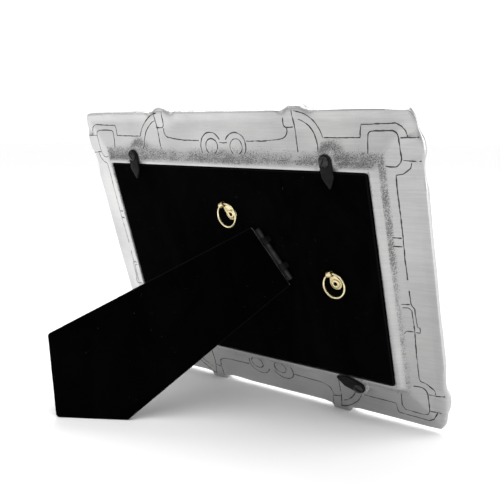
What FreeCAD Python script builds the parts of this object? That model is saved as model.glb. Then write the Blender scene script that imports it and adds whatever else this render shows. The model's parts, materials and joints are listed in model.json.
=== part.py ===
import FreeCAD, Part
import math
import os
import re
import Sketcher

# Table photo frame: a cast aluminium frame with a velvet back board, an easel leg,
# two ring hangers and four turn buttons.
#
# Every piece is drawn in the leaning frame's own axes. X runs along the width, Y out of
# the back and Z up the face. Y = 0 is the velvet's outer surface and the origin is the
# middle of the board. The leg has axes of its own on the hinge pin: X along the pin,
# Y away from it down the leg, Z out of its outer face. All lengths are in millimetres.

Vector = FreeCAD.Vector
Placement = FreeCAD.Placement
Rotation = FreeCAD.Rotation

# The driving dimensions. Depths are measured from the velvet towards the front.
SIZES = {
    # how the frame stands
    "lean": 17.35,
    "leg_opening": 38,
    # casting
    "frame_width": 200,
    "frame_height": 156,
    "frame_corner": 4,
    "edge_depth": 7.1,
    "edge_thickness": 3.9,
    "flange_root_depth": 3.6,
    "rim_width": 2.4,
    "rim_draft": 2.1,
    "lip_overlap": 4.2,
    "front_bevel": 7,
    "front_bevel_depth": 2.2,
    "relief_height": 1.4,
    # strap loops that wrap the edge; the lower two are the feet
    "loop_width": 10,
    "loop_proud": 2.4,
    "loop_rise": 0.7,
    "loop_reach": 13,
    "loop_x": 41.2,
    "side_strap_z": 61.5,
    "side_strap_proud": 1.2,
    "side_strap_reach": 8,
    "foot_ground": 0.45,
    # raised harness on the front
    "strap_x": 91,
    "strap_width": 7,
    "strap_end": 52,
    "strap_gap": 3,
    "keeper_z": 20,
    "keeper_width": 4,
    "keeper_length": 11,
    "buckle_x": 85.2,
    "buckle_z": 62.6,
    "buckle_width": 18,
    "buckle_height": 19,
    "buckle_bar": 3.6,
    "ring_x": 40.5,
    "ring_z": 62,
    "ring_outer_radius": 17,
    "ring_band": 3.5,
    "bit_bar_z": 64.6,
    "bit_bar_height": 4,
    "bit_link_x": 7.4,
    "bit_link_z": 62.4,
    "bit_link_radius": 6.6,
    "bit_link_band": 2.7,
    # the stack in the well
    "board_width": 155,
    "board_height": 104.5,
    "board_clearance": 0.4,
    "board_core": 2.4,
    "velvet": 0.4,
    "lining": 0.2,
    "print_thickness": 0.3,
    "glass_thickness": 2,
    "glass_clearance": 0.3,
    # turn buttons, their bosses and screws
    "boss_inset": 18.8,
    "boss_setback": 4.95,
    "boss_top_radius": 4.2,
    "boss_draft": 18,
    "boss_rise": 0.25,
    "button_length": 15.4,
    "button_width": 6,
    "button_thickness": 1.2,
    "button_gap": 0.05,
    "button_tip_length": 5,
    "button_tip_width": 0.9,
    "button_edge": 0.25,
    "screw_radius": 1,
    "screw_clearance": 0.05,
    "screw_length": 5,
    "screw_head_radius": 2.5,
    "screw_head_height": 1.3,
    "screw_slot_width": 0.6,
    "screw_slot_depth": 0.6,
    # easel leg
    "leg_top_width": 33,
    "leg_top_gap": 0.2,
    "leg_taper": 6.4,
    "leg_tip_offset": 7.4,
    "leg_tip_corner": 95,
    "leg_core": 2,
    "leg_velvet": 0.3,
    "leg_board_gap": 0.4,
    "leg_round": 1.5,
    # hinge
    "hinge_x": 23.1,
    "hinge_z": 10.7,
    "hinge_tilt": 59.3,
    "hinge_length": 28.8,
    "knuckle_wall": 1.3,
    "knuckle_lift": 0.1,
    "knuckle_length": 3,
    "knuckle_spacing": 15,
    "knuckle_gap": 0.2,
    "pin_radius": 0.45,
    "pin_clearance": 0.05,
    "leaf_thickness": 0.5,
    "leaf_width": 8,
    "leaf_slot_clearance": 0.1,
    "rivet_radius": 0.9,
    "rivet_clearance": 0.05,
    "rivet_spacing": 18,
    "rivet_setback": 5,
    # ring hangers, placed at their loops
    "top_loop_x": -3.8,
    "top_loop_z": 33.9,
    "top_eyelet_x": 3.9,
    "top_eyelet_z": -5,
    "top_loop_tilt": 25,
    "side_loop_x": 52.6,
    "side_loop_z": 3.5,
    "side_eyelet_x": 1.9,
    "side_eyelet_z": -5.1,
    "side_loop_tilt": 20,
    "hanger_plate": 0.45,
    "hanger_pad_radius": 3.1,
    "hanger_arm_width": 2.2,
    "hanger_loop_length": 2.6,
    "hanger_loop_wall": 0.65,
    "hanger_loop_clearance": 0.3,
    "hanger_loop_lift": 0.05,
    "hanger_wire_radius": 0.5,
    "hanger_ring_radius": 5.75,
    "hanger_ring_lean": 9,
    "eyelet_wall": 0.55,
    "eyelet_radius": 1.5,
    "eyelet_clearance": 0.05,
    "eyelet_collar_radius": 2.3,
    "eyelet_collar_height": 0.8,
}

doc = FreeCAD.newDocument("photo_frame")
sheet = doc.addObject("Spreadsheet::Sheet", "sizes")
NODES = []


def set_size(name, number):
    """Writes a number in the next row of the sheet and gives the cell its name."""
    row = len(SHEET_ROWS) + 1
    SHEET_ROWS.append(name)
    sheet.set(f"A{row}", name)
    sheet.set(f"B{row}", f"{number:.9g}")
    sheet.setAlias(f"B{row}", name)


SHEET_ROWS = []
for size_name, size in SIZES.items():
    set_size(size_name, size)
doc.recompute()


def bound(formula):
    """The formula with each size's name pointing at its cell."""
    return re.sub(
        r"[a-z][a-z0-9_]*",
        lambda word: "sizes." + word[0] if word[0] in SHEET_ROWS else word[0],
        str(formula),
    )


def value(formula):
    """What the formula comes to with the sheet's present numbers."""
    return float(sheet.evalExpression(bound(formula)))


def add_size(name, number):
    """A size worked out from the others, kept in the sheet beside them."""
    set_size(name, number)
    doc.recompute()


# ---------------------------------------------------------------- drawing helpers


def new_body(label):
    made = doc.addObject("PartDesign::Body", label)
    made.Label = label
    return made


def origin_plane(owner, role):
    return next(plane for plane in owner.Origin.OriginFeatures if plane.Role == role)


def new_sketch(owner, name, role, offset=None):
    """A sketch on one of the body's origin planes, moved along the plane's normal."""
    made = owner.newObject("Sketcher::SketchObject", name)
    made.AttachmentSupport = [(origin_plane(owner, role), "")]
    made.MapMode = "FlatFace"
    if offset is not None:
        made.setExpression("AttachmentOffset.Base.z", bound(offset))
    return made


def tie(sketch, kind, formula, *points):
    """Adds one dimension to a sketch and binds it to the sheet."""
    index = sketch.addConstraint(Sketcher.Constraint(kind, *points, value(formula)))
    sketch.setExpression(f"Constraints[{index}]", bound(formula))


def draw_polygon(sketch, corners):
    """A closed outline whose corners are pairs of formulas."""
    spots = [Vector(value(x), value(y), 0) for x, y in corners]
    first = sketch.GeometryCount
    count = len(spots)
    for index, spot in enumerate(spots):
        sketch.addGeometry(Part.LineSegment(spot, spots[(index + 1) % count]), False)
    for index, (x, y) in enumerate(corners):
        line = first + index
        after = first + (index + 1) % count
        sketch.addConstraint(Sketcher.Constraint("Coincident", line, 2, after, 1))
        tie(sketch, "DistanceX", x, -1, 1, line, 1)
        tie(sketch, "DistanceY", y, -1, 1, line, 1)


def draw_box(sketch, left, right, low, high):
    draw_polygon(sketch, [(left, low), (right, low), (right, high), (left, high)])


def draw_centred_box(sketch, width, height):
    half_width = f"({width}) / 2"
    half_height = f"({height}) / 2"
    draw_box(sketch, f"-{half_width}", half_width, f"-{half_height}", half_height)


def draw_circle(sketch, x, y, radius):
    middle = Vector(value(x), value(y), 0)
    circle = Part.Circle(middle, Vector(0, 0, 1), value(radius))
    index = sketch.addGeometry(circle, False)
    tie(sketch, "DistanceX", x, -1, 1, index, 3)
    tie(sketch, "DistanceY", y, -1, 1, index, 3)
    tie(sketch, "Radius", radius, index)


def pad(owner, sketch, length, towards_back=False, symmetric=False):
    made = owner.newObject("PartDesign::Pad", sketch.Name + "_pad")
    made.Profile = sketch
    made.setExpression("Length", bound(length))
    made.Reversed = towards_back
    if symmetric:
        made.SideType = "Symmetric"
    sketch.Visibility = False
    return made


def cut(owner, sketch, length=None, towards_back=False):
    """A pocket, through everything both ways when it has no length."""
    made = owner.newObject("PartDesign::Pocket", sketch.Name + "_cut")
    made.Profile = sketch
    if length is None:
        made.SideType = "Symmetric"
        made.Type = 1
    else:
        made.setExpression("Length", bound(length))
        made.Reversed = towards_back
    doc.recompute()
    return made


def check_cut(owner, sketch, length, least):
    """A pocket towards the front that has to take away at least this much."""
    before = owner.Shape.Volume
    made = cut(owner, sketch, length, towards_back=True)
    if owner.Shape.Volume > before - least:
        raise SystemExit(f"{sketch.Name} cut nothing")
    return made


def edges_where(shape, test):
    """Names of a shape's edges that pass a test."""
    return [f"Edge{n + 1}" for n, edge in enumerate(shape.Edges) if test(edge)]


def runs_along(edge, direction):
    ends = [vertex.Point for vertex in edge.Vertexes]
    if len(ends) != 2:
        return False
    run = (ends[1] - ends[0]).normalize()
    return abs(abs(run.dot(direction)) - 1) < 1e-6


def fillet(owner, base, names, radius):
    made = owner.newObject("PartDesign::Fillet", base.Name + "_round")
    made.Base = (base, names)
    made.setExpression("Radius", bound(radius))
    doc.recompute()
    return made


def node(piece, place=None):
    """Lists a finished piece for export and puts it in its place."""
    if place is not None:
        piece.Placement = place
    NODES.append(piece)
    return piece


# ---------------------------------------------------------------- where things are

DERIVED = {
    "well_depth": "velvet + board_core + lining + print_thickness + glass_thickness",
    "front_depth": "edge_depth + edge_thickness",
    "window_width": "board_width - 2 * lip_overlap",
    "window_height": "board_height - 2 * lip_overlap",
    "rim_top_width": "board_width + 2 * (board_clearance + rim_width)",
    "rim_top_height": "board_height + 2 * (board_clearance + rim_width)",
    "loop_back_depth": "edge_depth - loop_rise",
    "boss_x": "board_width / 2 - boss_inset",
    "boss_z": "board_height / 2 + board_clearance + boss_setback",
    "barrel_radius": "pin_radius + pin_clearance + leaf_thickness",
    "knuckle_radius": "pin_radius + pin_clearance + knuckle_wall",
    "pin_height": "knuckle_radius + knuckle_lift",
    "leg_top": "knuckle_radius + leg_top_gap",
    "hanger_loop_bore": "hanger_wire_radius + hanger_loop_clearance",
    "hanger_loop_radius": "hanger_loop_bore + hanger_loop_wall",
    "eyelet_bore": "eyelet_radius - eyelet_wall",
}
for derived_name, derived_formula in DERIVED.items():
    add_size(derived_name, value(derived_formula))

lean = math.radians(value("lean"))
foot_z = value("frame_height / 2 + loop_proud")
# The lowest corner of a foot is its back one. It is ground level with the table.
add_size(
    "stand_height",
    foot_z * math.cos(lean) - value("loop_back_depth") * math.sin(lean) - value("foot_ground"),
)
LEANING = Placement(
    Vector(0, 0, value("stand_height")), Rotation(Vector(1, 0, 0), -value("lean"))
)


def on_frame(x, y, z, rotation=Rotation()):
    """A place given in the leaning frame's axes, for a piece drawn at its own origin."""
    return LEANING.multiply(Placement(Vector(x, y, z), rotation))


# The leg's axes on the pin: closed against the board, then opened.
tilt = math.radians(value("hinge_tilt"))
pin_axis = Vector(math.cos(tilt), 0, math.sin(tilt))
down_leg = Vector(0, 1, 0).cross(pin_axis)
hinge_turn = FreeCAD.Matrix(
    pin_axis.x, down_leg.x, 0, 0,
    pin_axis.y, down_leg.y, 1, 0,
    pin_axis.z, down_leg.z, 0, 0,
    0, 0, 0, 1,
)
HINGE = on_frame(
    -value("hinge_x"), value("pin_height"), value("hinge_z"), Placement(hinge_turn).Rotation
)
LEG = HINGE.multiply(Placement(Vector(), Rotation(Vector(1, 0, 0), value("leg_opening"))))


def leg_levels():
    """The leg's inner and outer faces, measured from the pin."""
    inner = value("leg_board_gap - pin_height")
    outer = inner + value("leg_core + 2 * leg_velvet")
    return inner, outer


def leg_outline(inset):
    """Corners of the leg, whose lower edge lies along the table. Each edge but the top
    one is moved inwards by the inset."""
    table = LEG.inverse()
    rise = table.Rotation.multVec(Vector(0, 0, 1))
    inner, outer = leg_levels()
    lowest = min(rise.z * inner, rise.z * outer)
    foot = LEG.Base.z + lowest
    # On the table: foot + rise.x * x + rise.y * y = 0
    slope = -rise.x / rise.y
    level = -foot / rise.y
    taper = math.radians(value("leg_taper"))
    corner = math.radians(value("leg_tip_corner"))
    half_top = value("leg_top_width") / 2
    top = value("leg_top")
    tip = Vector(-value("leg_tip_offset"), level - slope * value("leg_tip_offset"), 0)
    landing = Vector(-1, -slope, 0).normalize()
    other = Vector(
        landing.x * math.cos(corner) - landing.y * math.sin(corner),
        landing.x * math.sin(corner) + landing.y * math.cos(corner),
        0,
    )
    if other.x < 0:
        other = Vector(
            landing.x * math.cos(corner) + landing.y * math.sin(corner),
            landing.y * math.cos(corner) - landing.x * math.sin(corner),
            0,
        )
    centre = Vector(0, (top + tip.y) / 2, 0)

    def moved_in(point, direction):
        normal = Vector(-direction.y, direction.x, 0)
        if normal.dot(centre - point) < 0:
            normal = normal.negative()
        return point + normal * inset, direction

    left_side = moved_in(Vector(-half_top, top, 0), Vector(-math.sin(taper), math.cos(taper), 0))
    right_side = moved_in(Vector(half_top, top, 0), Vector(math.sin(taper), math.cos(taper), 0))
    landing_edge = moved_in(tip, landing)
    other_edge = moved_in(tip, other)
    top_edge = (Vector(0, top, 0), Vector(1, 0, 0))
    ring = [top_edge, right_side, other_edge, landing_edge, left_side]
    return [crossing(ring[n - 1], ring[n]) for n in range(len(ring))]


def crossing(first, second):
    """Where two lines meet, each given by a point and a direction."""
    point, run = first
    other_point, other_run = second
    gap = other_point - point
    share = (gap.x * other_run.y - gap.y * other_run.x) / (run.x * other_run.y - run.y * other_run.x)
    return point + run * share


def add_outline_sizes(name, inset):
    """Keeps the corners of a leg outline in the sheet and lists their names in pairs."""
    corners = []
    for number, corner in enumerate(leg_outline(value(inset))):
        names = (f"{name}_corner{number}_across", f"{name}_corner{number}_down")
        set_size(names[0], corner.x)
        set_size(names[1], corner.y)
        corners.append(names)
    return corners


COVER_OUTLINE = add_outline_sizes("leg_cover", "0")
CORE_OUTLINE = add_outline_sizes("leg_core", "leg_velvet")
doc.recompute()


# ---------------------------------------------------------------- cast frame


def add_relief(owner, name, draw):
    """A raised shape on the front, sunk far enough to join the bevelled face."""
    sketch = new_sketch(owner, name, "XZ_Plane", "front_depth - front_bevel_depth")
    draw(sketch)
    return pad(owner, sketch, "relief_height + front_bevel_depth")


def make_casting():
    casting = new_body("frame_casting")
    plate = new_sketch(casting, "plate", "XZ_Plane", "edge_depth")
    draw_centred_box(plate, "frame_width", "frame_height")
    plate_pad = pad(casting, plate, "edge_thickness")
    doc.recompute()
    corners = edges_where(plate_pad.Shape, lambda edge: runs_along(edge, Vector(0, 1, 0)))
    fillet(casting, plate_pad, corners, "frame_corner")

    flange_low = new_sketch(casting, "flange_low", "XZ_Plane", "edge_depth")
    draw_centred_box(
        flange_low, "frame_width - 2 * frame_corner", "frame_height - 2 * frame_corner"
    )
    flange_high = new_sketch(casting, "flange_high", "XZ_Plane", "flange_root_depth")
    draw_centred_box(flange_high, "rim_top_width + 2 * rim_draft", "rim_top_height + 2 * rim_draft")
    add_loft(casting, "flange", flange_low, flange_high)

    rim_low = new_sketch(casting, "rim_low", "XZ_Plane", "flange_root_depth")
    draw_centred_box(rim_low, "rim_top_width + 2 * rim_draft", "rim_top_height + 2 * rim_draft")
    rim_high = new_sketch(casting, "rim_high", "XZ_Plane")
    draw_centred_box(rim_high, "rim_top_width", "rim_top_height")
    add_loft(casting, "rim", rim_low, rim_high)

    front_low = new_sketch(casting, "front_low", "XZ_Plane", "front_depth")
    draw_centred_box(front_low, "window_width + 2 * front_bevel", "window_height + 2 * front_bevel")
    front_high = new_sketch(casting, "front_high", "XZ_Plane", "front_depth - front_bevel_depth")
    draw_centred_box(front_high, "window_width", "window_height")
    bevel = casting.newObject("PartDesign::SubtractiveLoft", "front_bevel_cut")
    bevel.Profile = front_low
    bevel.Sections = [front_high]
    bevel.Ruled = True
    doc.recompute()

    repeated = []
    boss = new_sketch(casting, "boss", "XZ_Plane", "-boss_rise")
    draw_circle(boss, "boss_x", "boss_z", "boss_top_radius")
    boss_pad = pad(casting, boss, "edge_depth + boss_rise")
    boss_pad.setExpression("TaperAngle", bound("boss_draft"))
    repeated.append(boss_pad)

    loop = new_sketch(casting, "strap_loop", "XZ_Plane", "loop_back_depth")
    top = "frame_height / 2 + loop_proud"
    draw_box(loop, "loop_x - loop_width / 2", "loop_x + loop_width / 2", f"{top} - loop_reach", top)
    repeated.append(pad(casting, loop, "front_depth + relief_height - loop_back_depth"))
    side_loop = new_sketch(casting, "side_strap_loop", "XZ_Plane", "loop_back_depth")
    side = "frame_width / 2 + side_strap_proud"
    draw_box(
        side_loop,
        f"{side} - side_strap_reach",
        side,
        "side_strap_z - loop_width / 2",
        "side_strap_z + loop_width / 2",
    )
    repeated.append(pad(casting, side_loop, "front_depth + relief_height - loop_back_depth"))

    def side_strap(sketch):
        draw_box(
            sketch,
            "strap_x - strap_width / 2",
            "strap_x + strap_width / 2",
            "strap_gap",
            "strap_end",
        )

    def keeper(sketch):
        draw_box(
            sketch,
            "strap_x - keeper_length / 2",
            "strap_x + keeper_length / 2",
            "keeper_z - keeper_width / 2",
            "keeper_z + keeper_width / 2",
        )

    def buckle(sketch):
        for trim in ("0", "buckle_bar"):
            draw_box(
                sketch,
                f"buckle_x - buckle_width / 2 + {trim}",
                f"buckle_x + buckle_width / 2 - {trim}",
                f"buckle_z - buckle_height / 2 + {trim}",
                f"buckle_z + buckle_height / 2 - {trim}",
            )

    def bit_ring(sketch):
        draw_circle(sketch, "ring_x", "ring_z", "ring_outer_radius")
        draw_circle(sketch, "ring_x", "ring_z", "ring_outer_radius - ring_band")

    def bit_bar(sketch):
        draw_box(
            sketch,
            "bit_link_x + bit_link_radius - bit_link_band",
            "ring_x",
            "bit_bar_z - bit_bar_height / 2",
            "bit_bar_z + bit_bar_height / 2",
        )

    def bit_link(sketch):
        draw_circle(sketch, "bit_link_x", "bit_link_z", "bit_link_radius")
        draw_circle(sketch, "bit_link_x", "bit_link_z", "bit_link_radius - bit_link_band")

    for name, draw in (
        ("side_strap", side_strap),
        ("keeper", keeper),
        ("corner_buckle", buckle),
        ("bit_ring", bit_ring),
        ("bit_bar", bit_bar),
        ("bit_link", bit_link),
    ):
        repeated.append(add_relief(casting, name, draw))
    doc.recompute()

    quarters = casting.newObject("PartDesign::MultiTransform", "four_quarters")
    quarters.Originals = repeated
    mirrors = []
    for role in ("YZ_Plane", "XY_Plane"):
        mirror = casting.newObject("PartDesign::Mirrored", "mirror_" + role)
        mirror.MirrorPlane = (origin_plane(casting, role), [""])
        mirrors.append(mirror)
    quarters.Transformations = mirrors
    casting.Tip = quarters
    doc.recompute()

    well = new_sketch(casting, "well", "XZ_Plane", "-boss_rise")
    draw_centred_box(
        well, "board_width + 2 * board_clearance", "board_height + 2 * board_clearance"
    )
    cut(casting, well, "well_depth + boss_rise", towards_back=True)
    window = new_sketch(casting, "window", "XZ_Plane")
    draw_centred_box(window, "window_width", "window_height")
    cut(casting, window)

    holes = new_sketch(casting, "screw_holes", "XZ_Plane", "-boss_rise")
    for x_sign, z_sign in QUARTERS.values():
        draw_circle(
            holes, f"{x_sign} * boss_x", f"{z_sign} * boss_z", "screw_radius + screw_clearance"
        )
    cut(casting, holes, "screw_length", towards_back=True)

    ground = new_sketch(casting, "foot_grind", "YZ_Plane")
    slope = "tan(lean)"
    table = "-(stand_height / cos(lean))"
    draw_polygon(
        ground,
        [
            ("-2 * front_depth", f"{table} - 2 * front_depth * {slope}"),
            ("0", table),
            ("0", f"{table} - 2 * front_depth"),
            ("-2 * front_depth", f"{table} - 2 * front_depth * (1 + {slope})"),
        ],
    )
    cut(casting, ground)
    return node(casting, LEANING)


def add_loft(owner, name, low, high):
    made = owner.newObject("PartDesign::AdditiveLoft", name)
    made.Profile = low
    made.Sections = [high]
    made.Ruled = True
    doc.recompute()
    return made


# Which way each quarter lies, named as the back is seen: left is +X.
QUARTERS = {
    "top_left": (1, 1),
    "top_right": (-1, 1),
    "bottom_left": (1, -1),
    "bottom_right": (-1, -1),
}

# ---------------------------------------------------------------- the stack in the well


def make_sheet(label, depth, thickness, trim="0"):
    """A flat rectangle as large as the board, less a trim all round."""
    piece = new_body(label)
    outline = new_sketch(piece, label + "_outline", "XZ_Plane", depth)
    draw_centred_box(outline, f"board_width - 2 * ({trim})", f"board_height - 2 * ({trim})")
    pad(piece, outline, thickness)
    doc.recompute()
    return piece


def hanger_holes(sketch):
    for loop_x, loop_z, eyelet_x, eyelet_z, _ in HANGERS.values():
        draw_circle(
            sketch,
            f"-({loop_x} + {eyelet_x})",
            f"{loop_z} + {eyelet_z}",
            "eyelet_radius + eyelet_clearance",
        )


def hinge_box(sketch, left, right, low, high):
    """A box given along and down from the hinge pin, drawn square to the board."""
    corners = []
    for along, down in ((left, low), (right, low), (right, high), (left, high)):
        corners.append(
            (
                f"-hinge_x + ({along}) * cos(hinge_tilt) + ({down}) * sin(hinge_tilt)",
                f"hinge_z + ({along}) * sin(hinge_tilt) - ({down}) * cos(hinge_tilt)",
            )
        )
    draw_polygon(sketch, corners)


def hinge_rivet_holes(sketch):
    for end in (-1, 1):
        along = f"({end} * rivet_spacing / 2)"
        draw_circle(
            sketch,
            f"-hinge_x + {along} * cos(hinge_tilt) - rivet_setback * sin(hinge_tilt)",
            f"hinge_z + {along} * sin(hinge_tilt) + rivet_setback * cos(hinge_tilt)",
            "rivet_radius + rivet_clearance",
        )


# Each hanger's sizes: its loop's place, its eyelet's place from there, and the loop's tilt.
HANGERS = {
    side: [f"{side}_{name}" for name in ("loop_x", "loop_z", "eyelet_x", "eyelet_z", "loop_tilt")]
    for side in ("top", "side")
}


def make_stack():
    velvet = make_sheet("backing_velvet", "0", "velvet + board_core")
    inside = new_sketch(velvet, "velvet_inside", "XZ_Plane", "velvet")
    draw_centred_box(inside, "board_width - 2 * velvet", "board_height - 2 * velvet")
    check_cut(velvet, inside, "board_core", 10000)
    slots = new_sketch(velvet, "velvet_slots", "XZ_Plane")
    hanger_holes(slots)
    clear = "leaf_slot_clearance"
    for end in (-1, 1):
        middle = f"{end} * knuckle_spacing / 2"
        hinge_box(
            slots,
            f"{middle} - knuckle_length / 2 - {clear}",
            f"{middle} + knuckle_length / 2 + {clear}",
            f"-knuckle_radius - {clear}",
            f"leaf_thickness - knuckle_radius + {clear}",
        )
    cut(velvet, slots)
    node(velvet, LEANING)

    core = make_sheet("backing_board", "velvet", "board_core", "velvet")
    leaf_seat = new_sketch(core, "leaf_seat", "XZ_Plane", "velvet")
    hinge_box(
        leaf_seat,
        f"-hinge_length / 2 - {clear}",
        f"hinge_length / 2 + {clear}",
        f"-leaf_width - {clear}",
        f"leaf_thickness - knuckle_radius + {clear}",
    )
    check_cut(core, leaf_seat, "leaf_thickness", 10)
    holes = new_sketch(core, "board_holes", "XZ_Plane")
    hanger_holes(holes)
    hinge_rivet_holes(holes)
    cut(core, holes)
    node(core, LEANING)

    node(make_sheet("backing_lining", "velvet + board_core", "lining"), LEANING)
    stacked = "velvet + board_core + lining"
    node(make_sheet("photo_print", stacked, "print_thickness", "glass_clearance"), LEANING)
    glass_depth = f"{stacked} + print_thickness"
    node(make_sheet("glass_pane", glass_depth, "glass_thickness", "glass_clearance"), LEANING)


# ---------------------------------------------------------------- turn buttons and screws


def make_button(quarter, turn):
    """A flat latch: round at its screw and narrowed to a blunt tip. It points along -Z
    before it is turned."""
    button = new_body("turn_button_" + quarter)
    eye = new_sketch(button, "eye_" + quarter, "XZ_Plane")
    draw_circle(eye, "0", "0", "button_width / 2")
    pad(button, eye, "button_thickness", towards_back=True)
    blade = new_sketch(button, "blade_" + quarter, "XZ_Plane")
    reach = "button_width / 2 - button_length"
    draw_polygon(
        blade,
        [
            ("-button_width / 2", "0"),
            ("-button_width / 2", f"{reach} + button_tip_length"),
            ("-button_tip_width / 2", reach),
            ("button_tip_width / 2", reach),
            ("button_width / 2", f"{reach} + button_tip_length"),
            ("button_width / 2", "0"),
        ],
    )
    blade_pad = pad(button, blade, "button_thickness", towards_back=True)
    doc.recompute()
    outer = value("button_thickness")
    rim = edges_where(
        blade_pad.Shape, lambda edge: all(abs(v.Point.y - outer) < 1e-6 for v in edge.Vertexes)
    )
    bevel = button.newObject("PartDesign::Chamfer", "edge_" + quarter)
    bevel.Base = (blade_pad, rim)
    bevel.setExpression("Size", bound("button_edge"))
    doc.recompute()
    hole = new_sketch(button, "hole_" + quarter, "XZ_Plane")
    draw_circle(hole, "0", "0", "screw_radius + screw_clearance")
    cut(button, hole)
    x_sign, z_sign = QUARTERS[quarter]
    place = on_frame(
        x_sign * value("boss_x"),
        value("boss_rise + button_gap"),
        z_sign * value("boss_z"),
        Rotation(Vector(0, 1, 0), turn),
    )
    return node(button, place)


def make_screw(quarter):
    """A slotted round-head screw. Its origin is under the head, on the button."""
    screw = new_body("turn_screw_" + quarter)
    profile = new_sketch(screw, "screw_profile_" + quarter, "YZ_Plane")
    draw_polygon(
        profile,
        [
            ("button_gap + screw_head_height", "0"),
            ("button_gap + screw_head_height", "screw_head_radius / 2"),
            ("button_gap + screw_head_height * 0.6", "screw_head_radius * 0.9"),
            ("button_gap", "screw_head_radius"),
            ("button_gap", "screw_radius"),
            ("button_gap * 2 + button_thickness - screw_length + screw_clearance", "screw_radius"),
            ("button_gap * 2 + button_thickness - screw_length + screw_clearance", "0"),
        ],
    )
    turned = screw.newObject("PartDesign::Revolution", "turned_" + quarter)
    turned.Profile = profile
    turned.ReferenceAxis = (profile, ["H_Axis"])
    turned.Angle = 360
    doc.recompute()
    slot = new_sketch(screw, "slot_" + quarter, "XZ_Plane", "-(button_gap + screw_head_height)")
    draw_centred_box(slot, "screw_head_radius * 4", "screw_slot_width")
    check_cut(screw, slot, "screw_slot_depth", 0.1)
    x_sign, z_sign = QUARTERS[quarter]
    screw.Placement = on_frame(
        x_sign * value("boss_x"),
        value("boss_rise + button_gap + button_thickness"),
        z_sign * value("boss_z"),
        Rotation(Vector(0, 1, 0), SCREW_TURNS[quarter]),
    )
    return screw


# How far each button is turned from pointing straight down, and where its screw's slot stopped.
BUTTON_TURNS = {"top_left": -4, "top_right": 4, "bottom_left": 176, "bottom_right": -108}
SCREW_TURNS = {"top_left": 20, "top_right": 65, "bottom_left": 110, "bottom_right": -15}


def make_latches():
    for quarter, turn in BUTTON_TURNS.items():
        make_button(quarter, turn)
    screws = doc.addObject("Part::Compound", "turn_button_screws")
    screws.Label = "turn_button_screws"
    screws.Links = [make_screw(quarter) for quarter in QUARTERS]
    doc.recompute()
    node(screws)


# ---------------------------------------------------------------- hinge and easel leg

def finish_leaf(leaf, side):
    """Bores a leaf for the pin and drills it for its rivets."""
    bore = new_sketch(leaf, leaf.Label + "_bore", "YZ_Plane")
    draw_circle(bore, "0", "0", "pin_radius + pin_clearance")
    cut(leaf, bore)
    holes = new_sketch(leaf, leaf.Label + "_holes", "XY_Plane")
    for end in (-1, 1):
        draw_circle(
            holes,
            f"{end} * rivet_spacing / 2",
            f"{side} * rivet_setback",
            "rivet_radius + rivet_clearance",
        )
    cut(leaf, holes)


def make_board_leaf():
    """A flat leaf under the velvet, with two tabs that stand up and roll round the pin."""
    leaf = new_body("hinge_board_leaf")
    plate_level = "-pin_height - velvet - leaf_thickness"
    for end, name in ((-1, "low"), (1, "high")):
        middle = f"{end} * knuckle_spacing / 2"
        # Each knuckle is drawn square to the pin and padded along it.
        start = f"{middle} - knuckle_length / 2"
        knuckle = new_sketch(leaf, "knuckle_" + name, "YZ_Plane", start)
        draw_circle(knuckle, "0", "0", "knuckle_radius")
        pad(leaf, knuckle, "knuckle_length")
        tab = new_sketch(leaf, "tab_" + name, "YZ_Plane", start)
        draw_box(
            tab,
            "-knuckle_radius",
            "leaf_thickness - knuckle_radius",
            plate_level,
            "0",
        )
        pad(leaf, tab, "knuckle_length")
        if name == "low":
            plate = new_sketch(leaf, "board_leaf_plate", "XY_Plane", plate_level)
            draw_box(
                plate,
                "-hinge_length / 2",
                "hinge_length / 2",
                "-leaf_width",
                "leaf_thickness - knuckle_radius",
            )
            pad(leaf, plate, "leaf_thickness")
        doc.recompute()
    finish_leaf(leaf, -1)
    return node(leaf, HINGE)


def make_leg_leaf():
    """A flat leaf inside the leg, rolled round the pin except where the knuckles are."""
    leaf = new_body("hinge_leg_leaf")
    plate = new_sketch(leaf, "leg_leaf_plate", "XY_Plane", "-barrel_radius")
    draw_box(plate, "-hinge_length / 2", "hinge_length / 2", "0", "leaf_width")
    pad(leaf, plate, "leaf_thickness")
    barrel = new_sketch(leaf, "barrel", "YZ_Plane")
    draw_circle(barrel, "0", "0", "barrel_radius")
    pad(leaf, barrel, "hinge_length", symmetric=True)
    doc.recompute()
    notches = new_sketch(leaf, "barrel_notches", "XY_Plane")
    for end in (-1, 1):
        middle = f"{end} * knuckle_spacing / 2"
        draw_box(
            notches,
            f"{middle} - knuckle_length / 2 - knuckle_gap",
            f"{middle} + knuckle_length / 2 + knuckle_gap",
            "-knuckle_radius - knuckle_gap",
            "knuckle_radius + knuckle_gap",
        )
    cut(leaf, notches)
    finish_leaf(leaf, 1)
    return node(leaf, LEG)


def make_rivets(label, side, level, length, place):
    """Two flush rivets through a leaf and its board, one node."""
    pair = []
    for end, name in ((-1, "_low"), (1, "_high")):
        rivet = doc.addObject("Part::Cylinder", label + name)
        rivet.setExpression("Radius", bound("rivet_radius"))
        rivet.setExpression("Height", bound(length))
        spot = Vector(end * value("rivet_spacing") / 2, side * value("rivet_setback"), value(level))
        rivet.Placement = place.multiply(Placement(spot, Rotation()))
        pair.append(rivet)
    group = doc.addObject("Part::Compound", label)
    group.Label = label
    group.Links = pair
    doc.recompute()
    return node(group)


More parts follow.
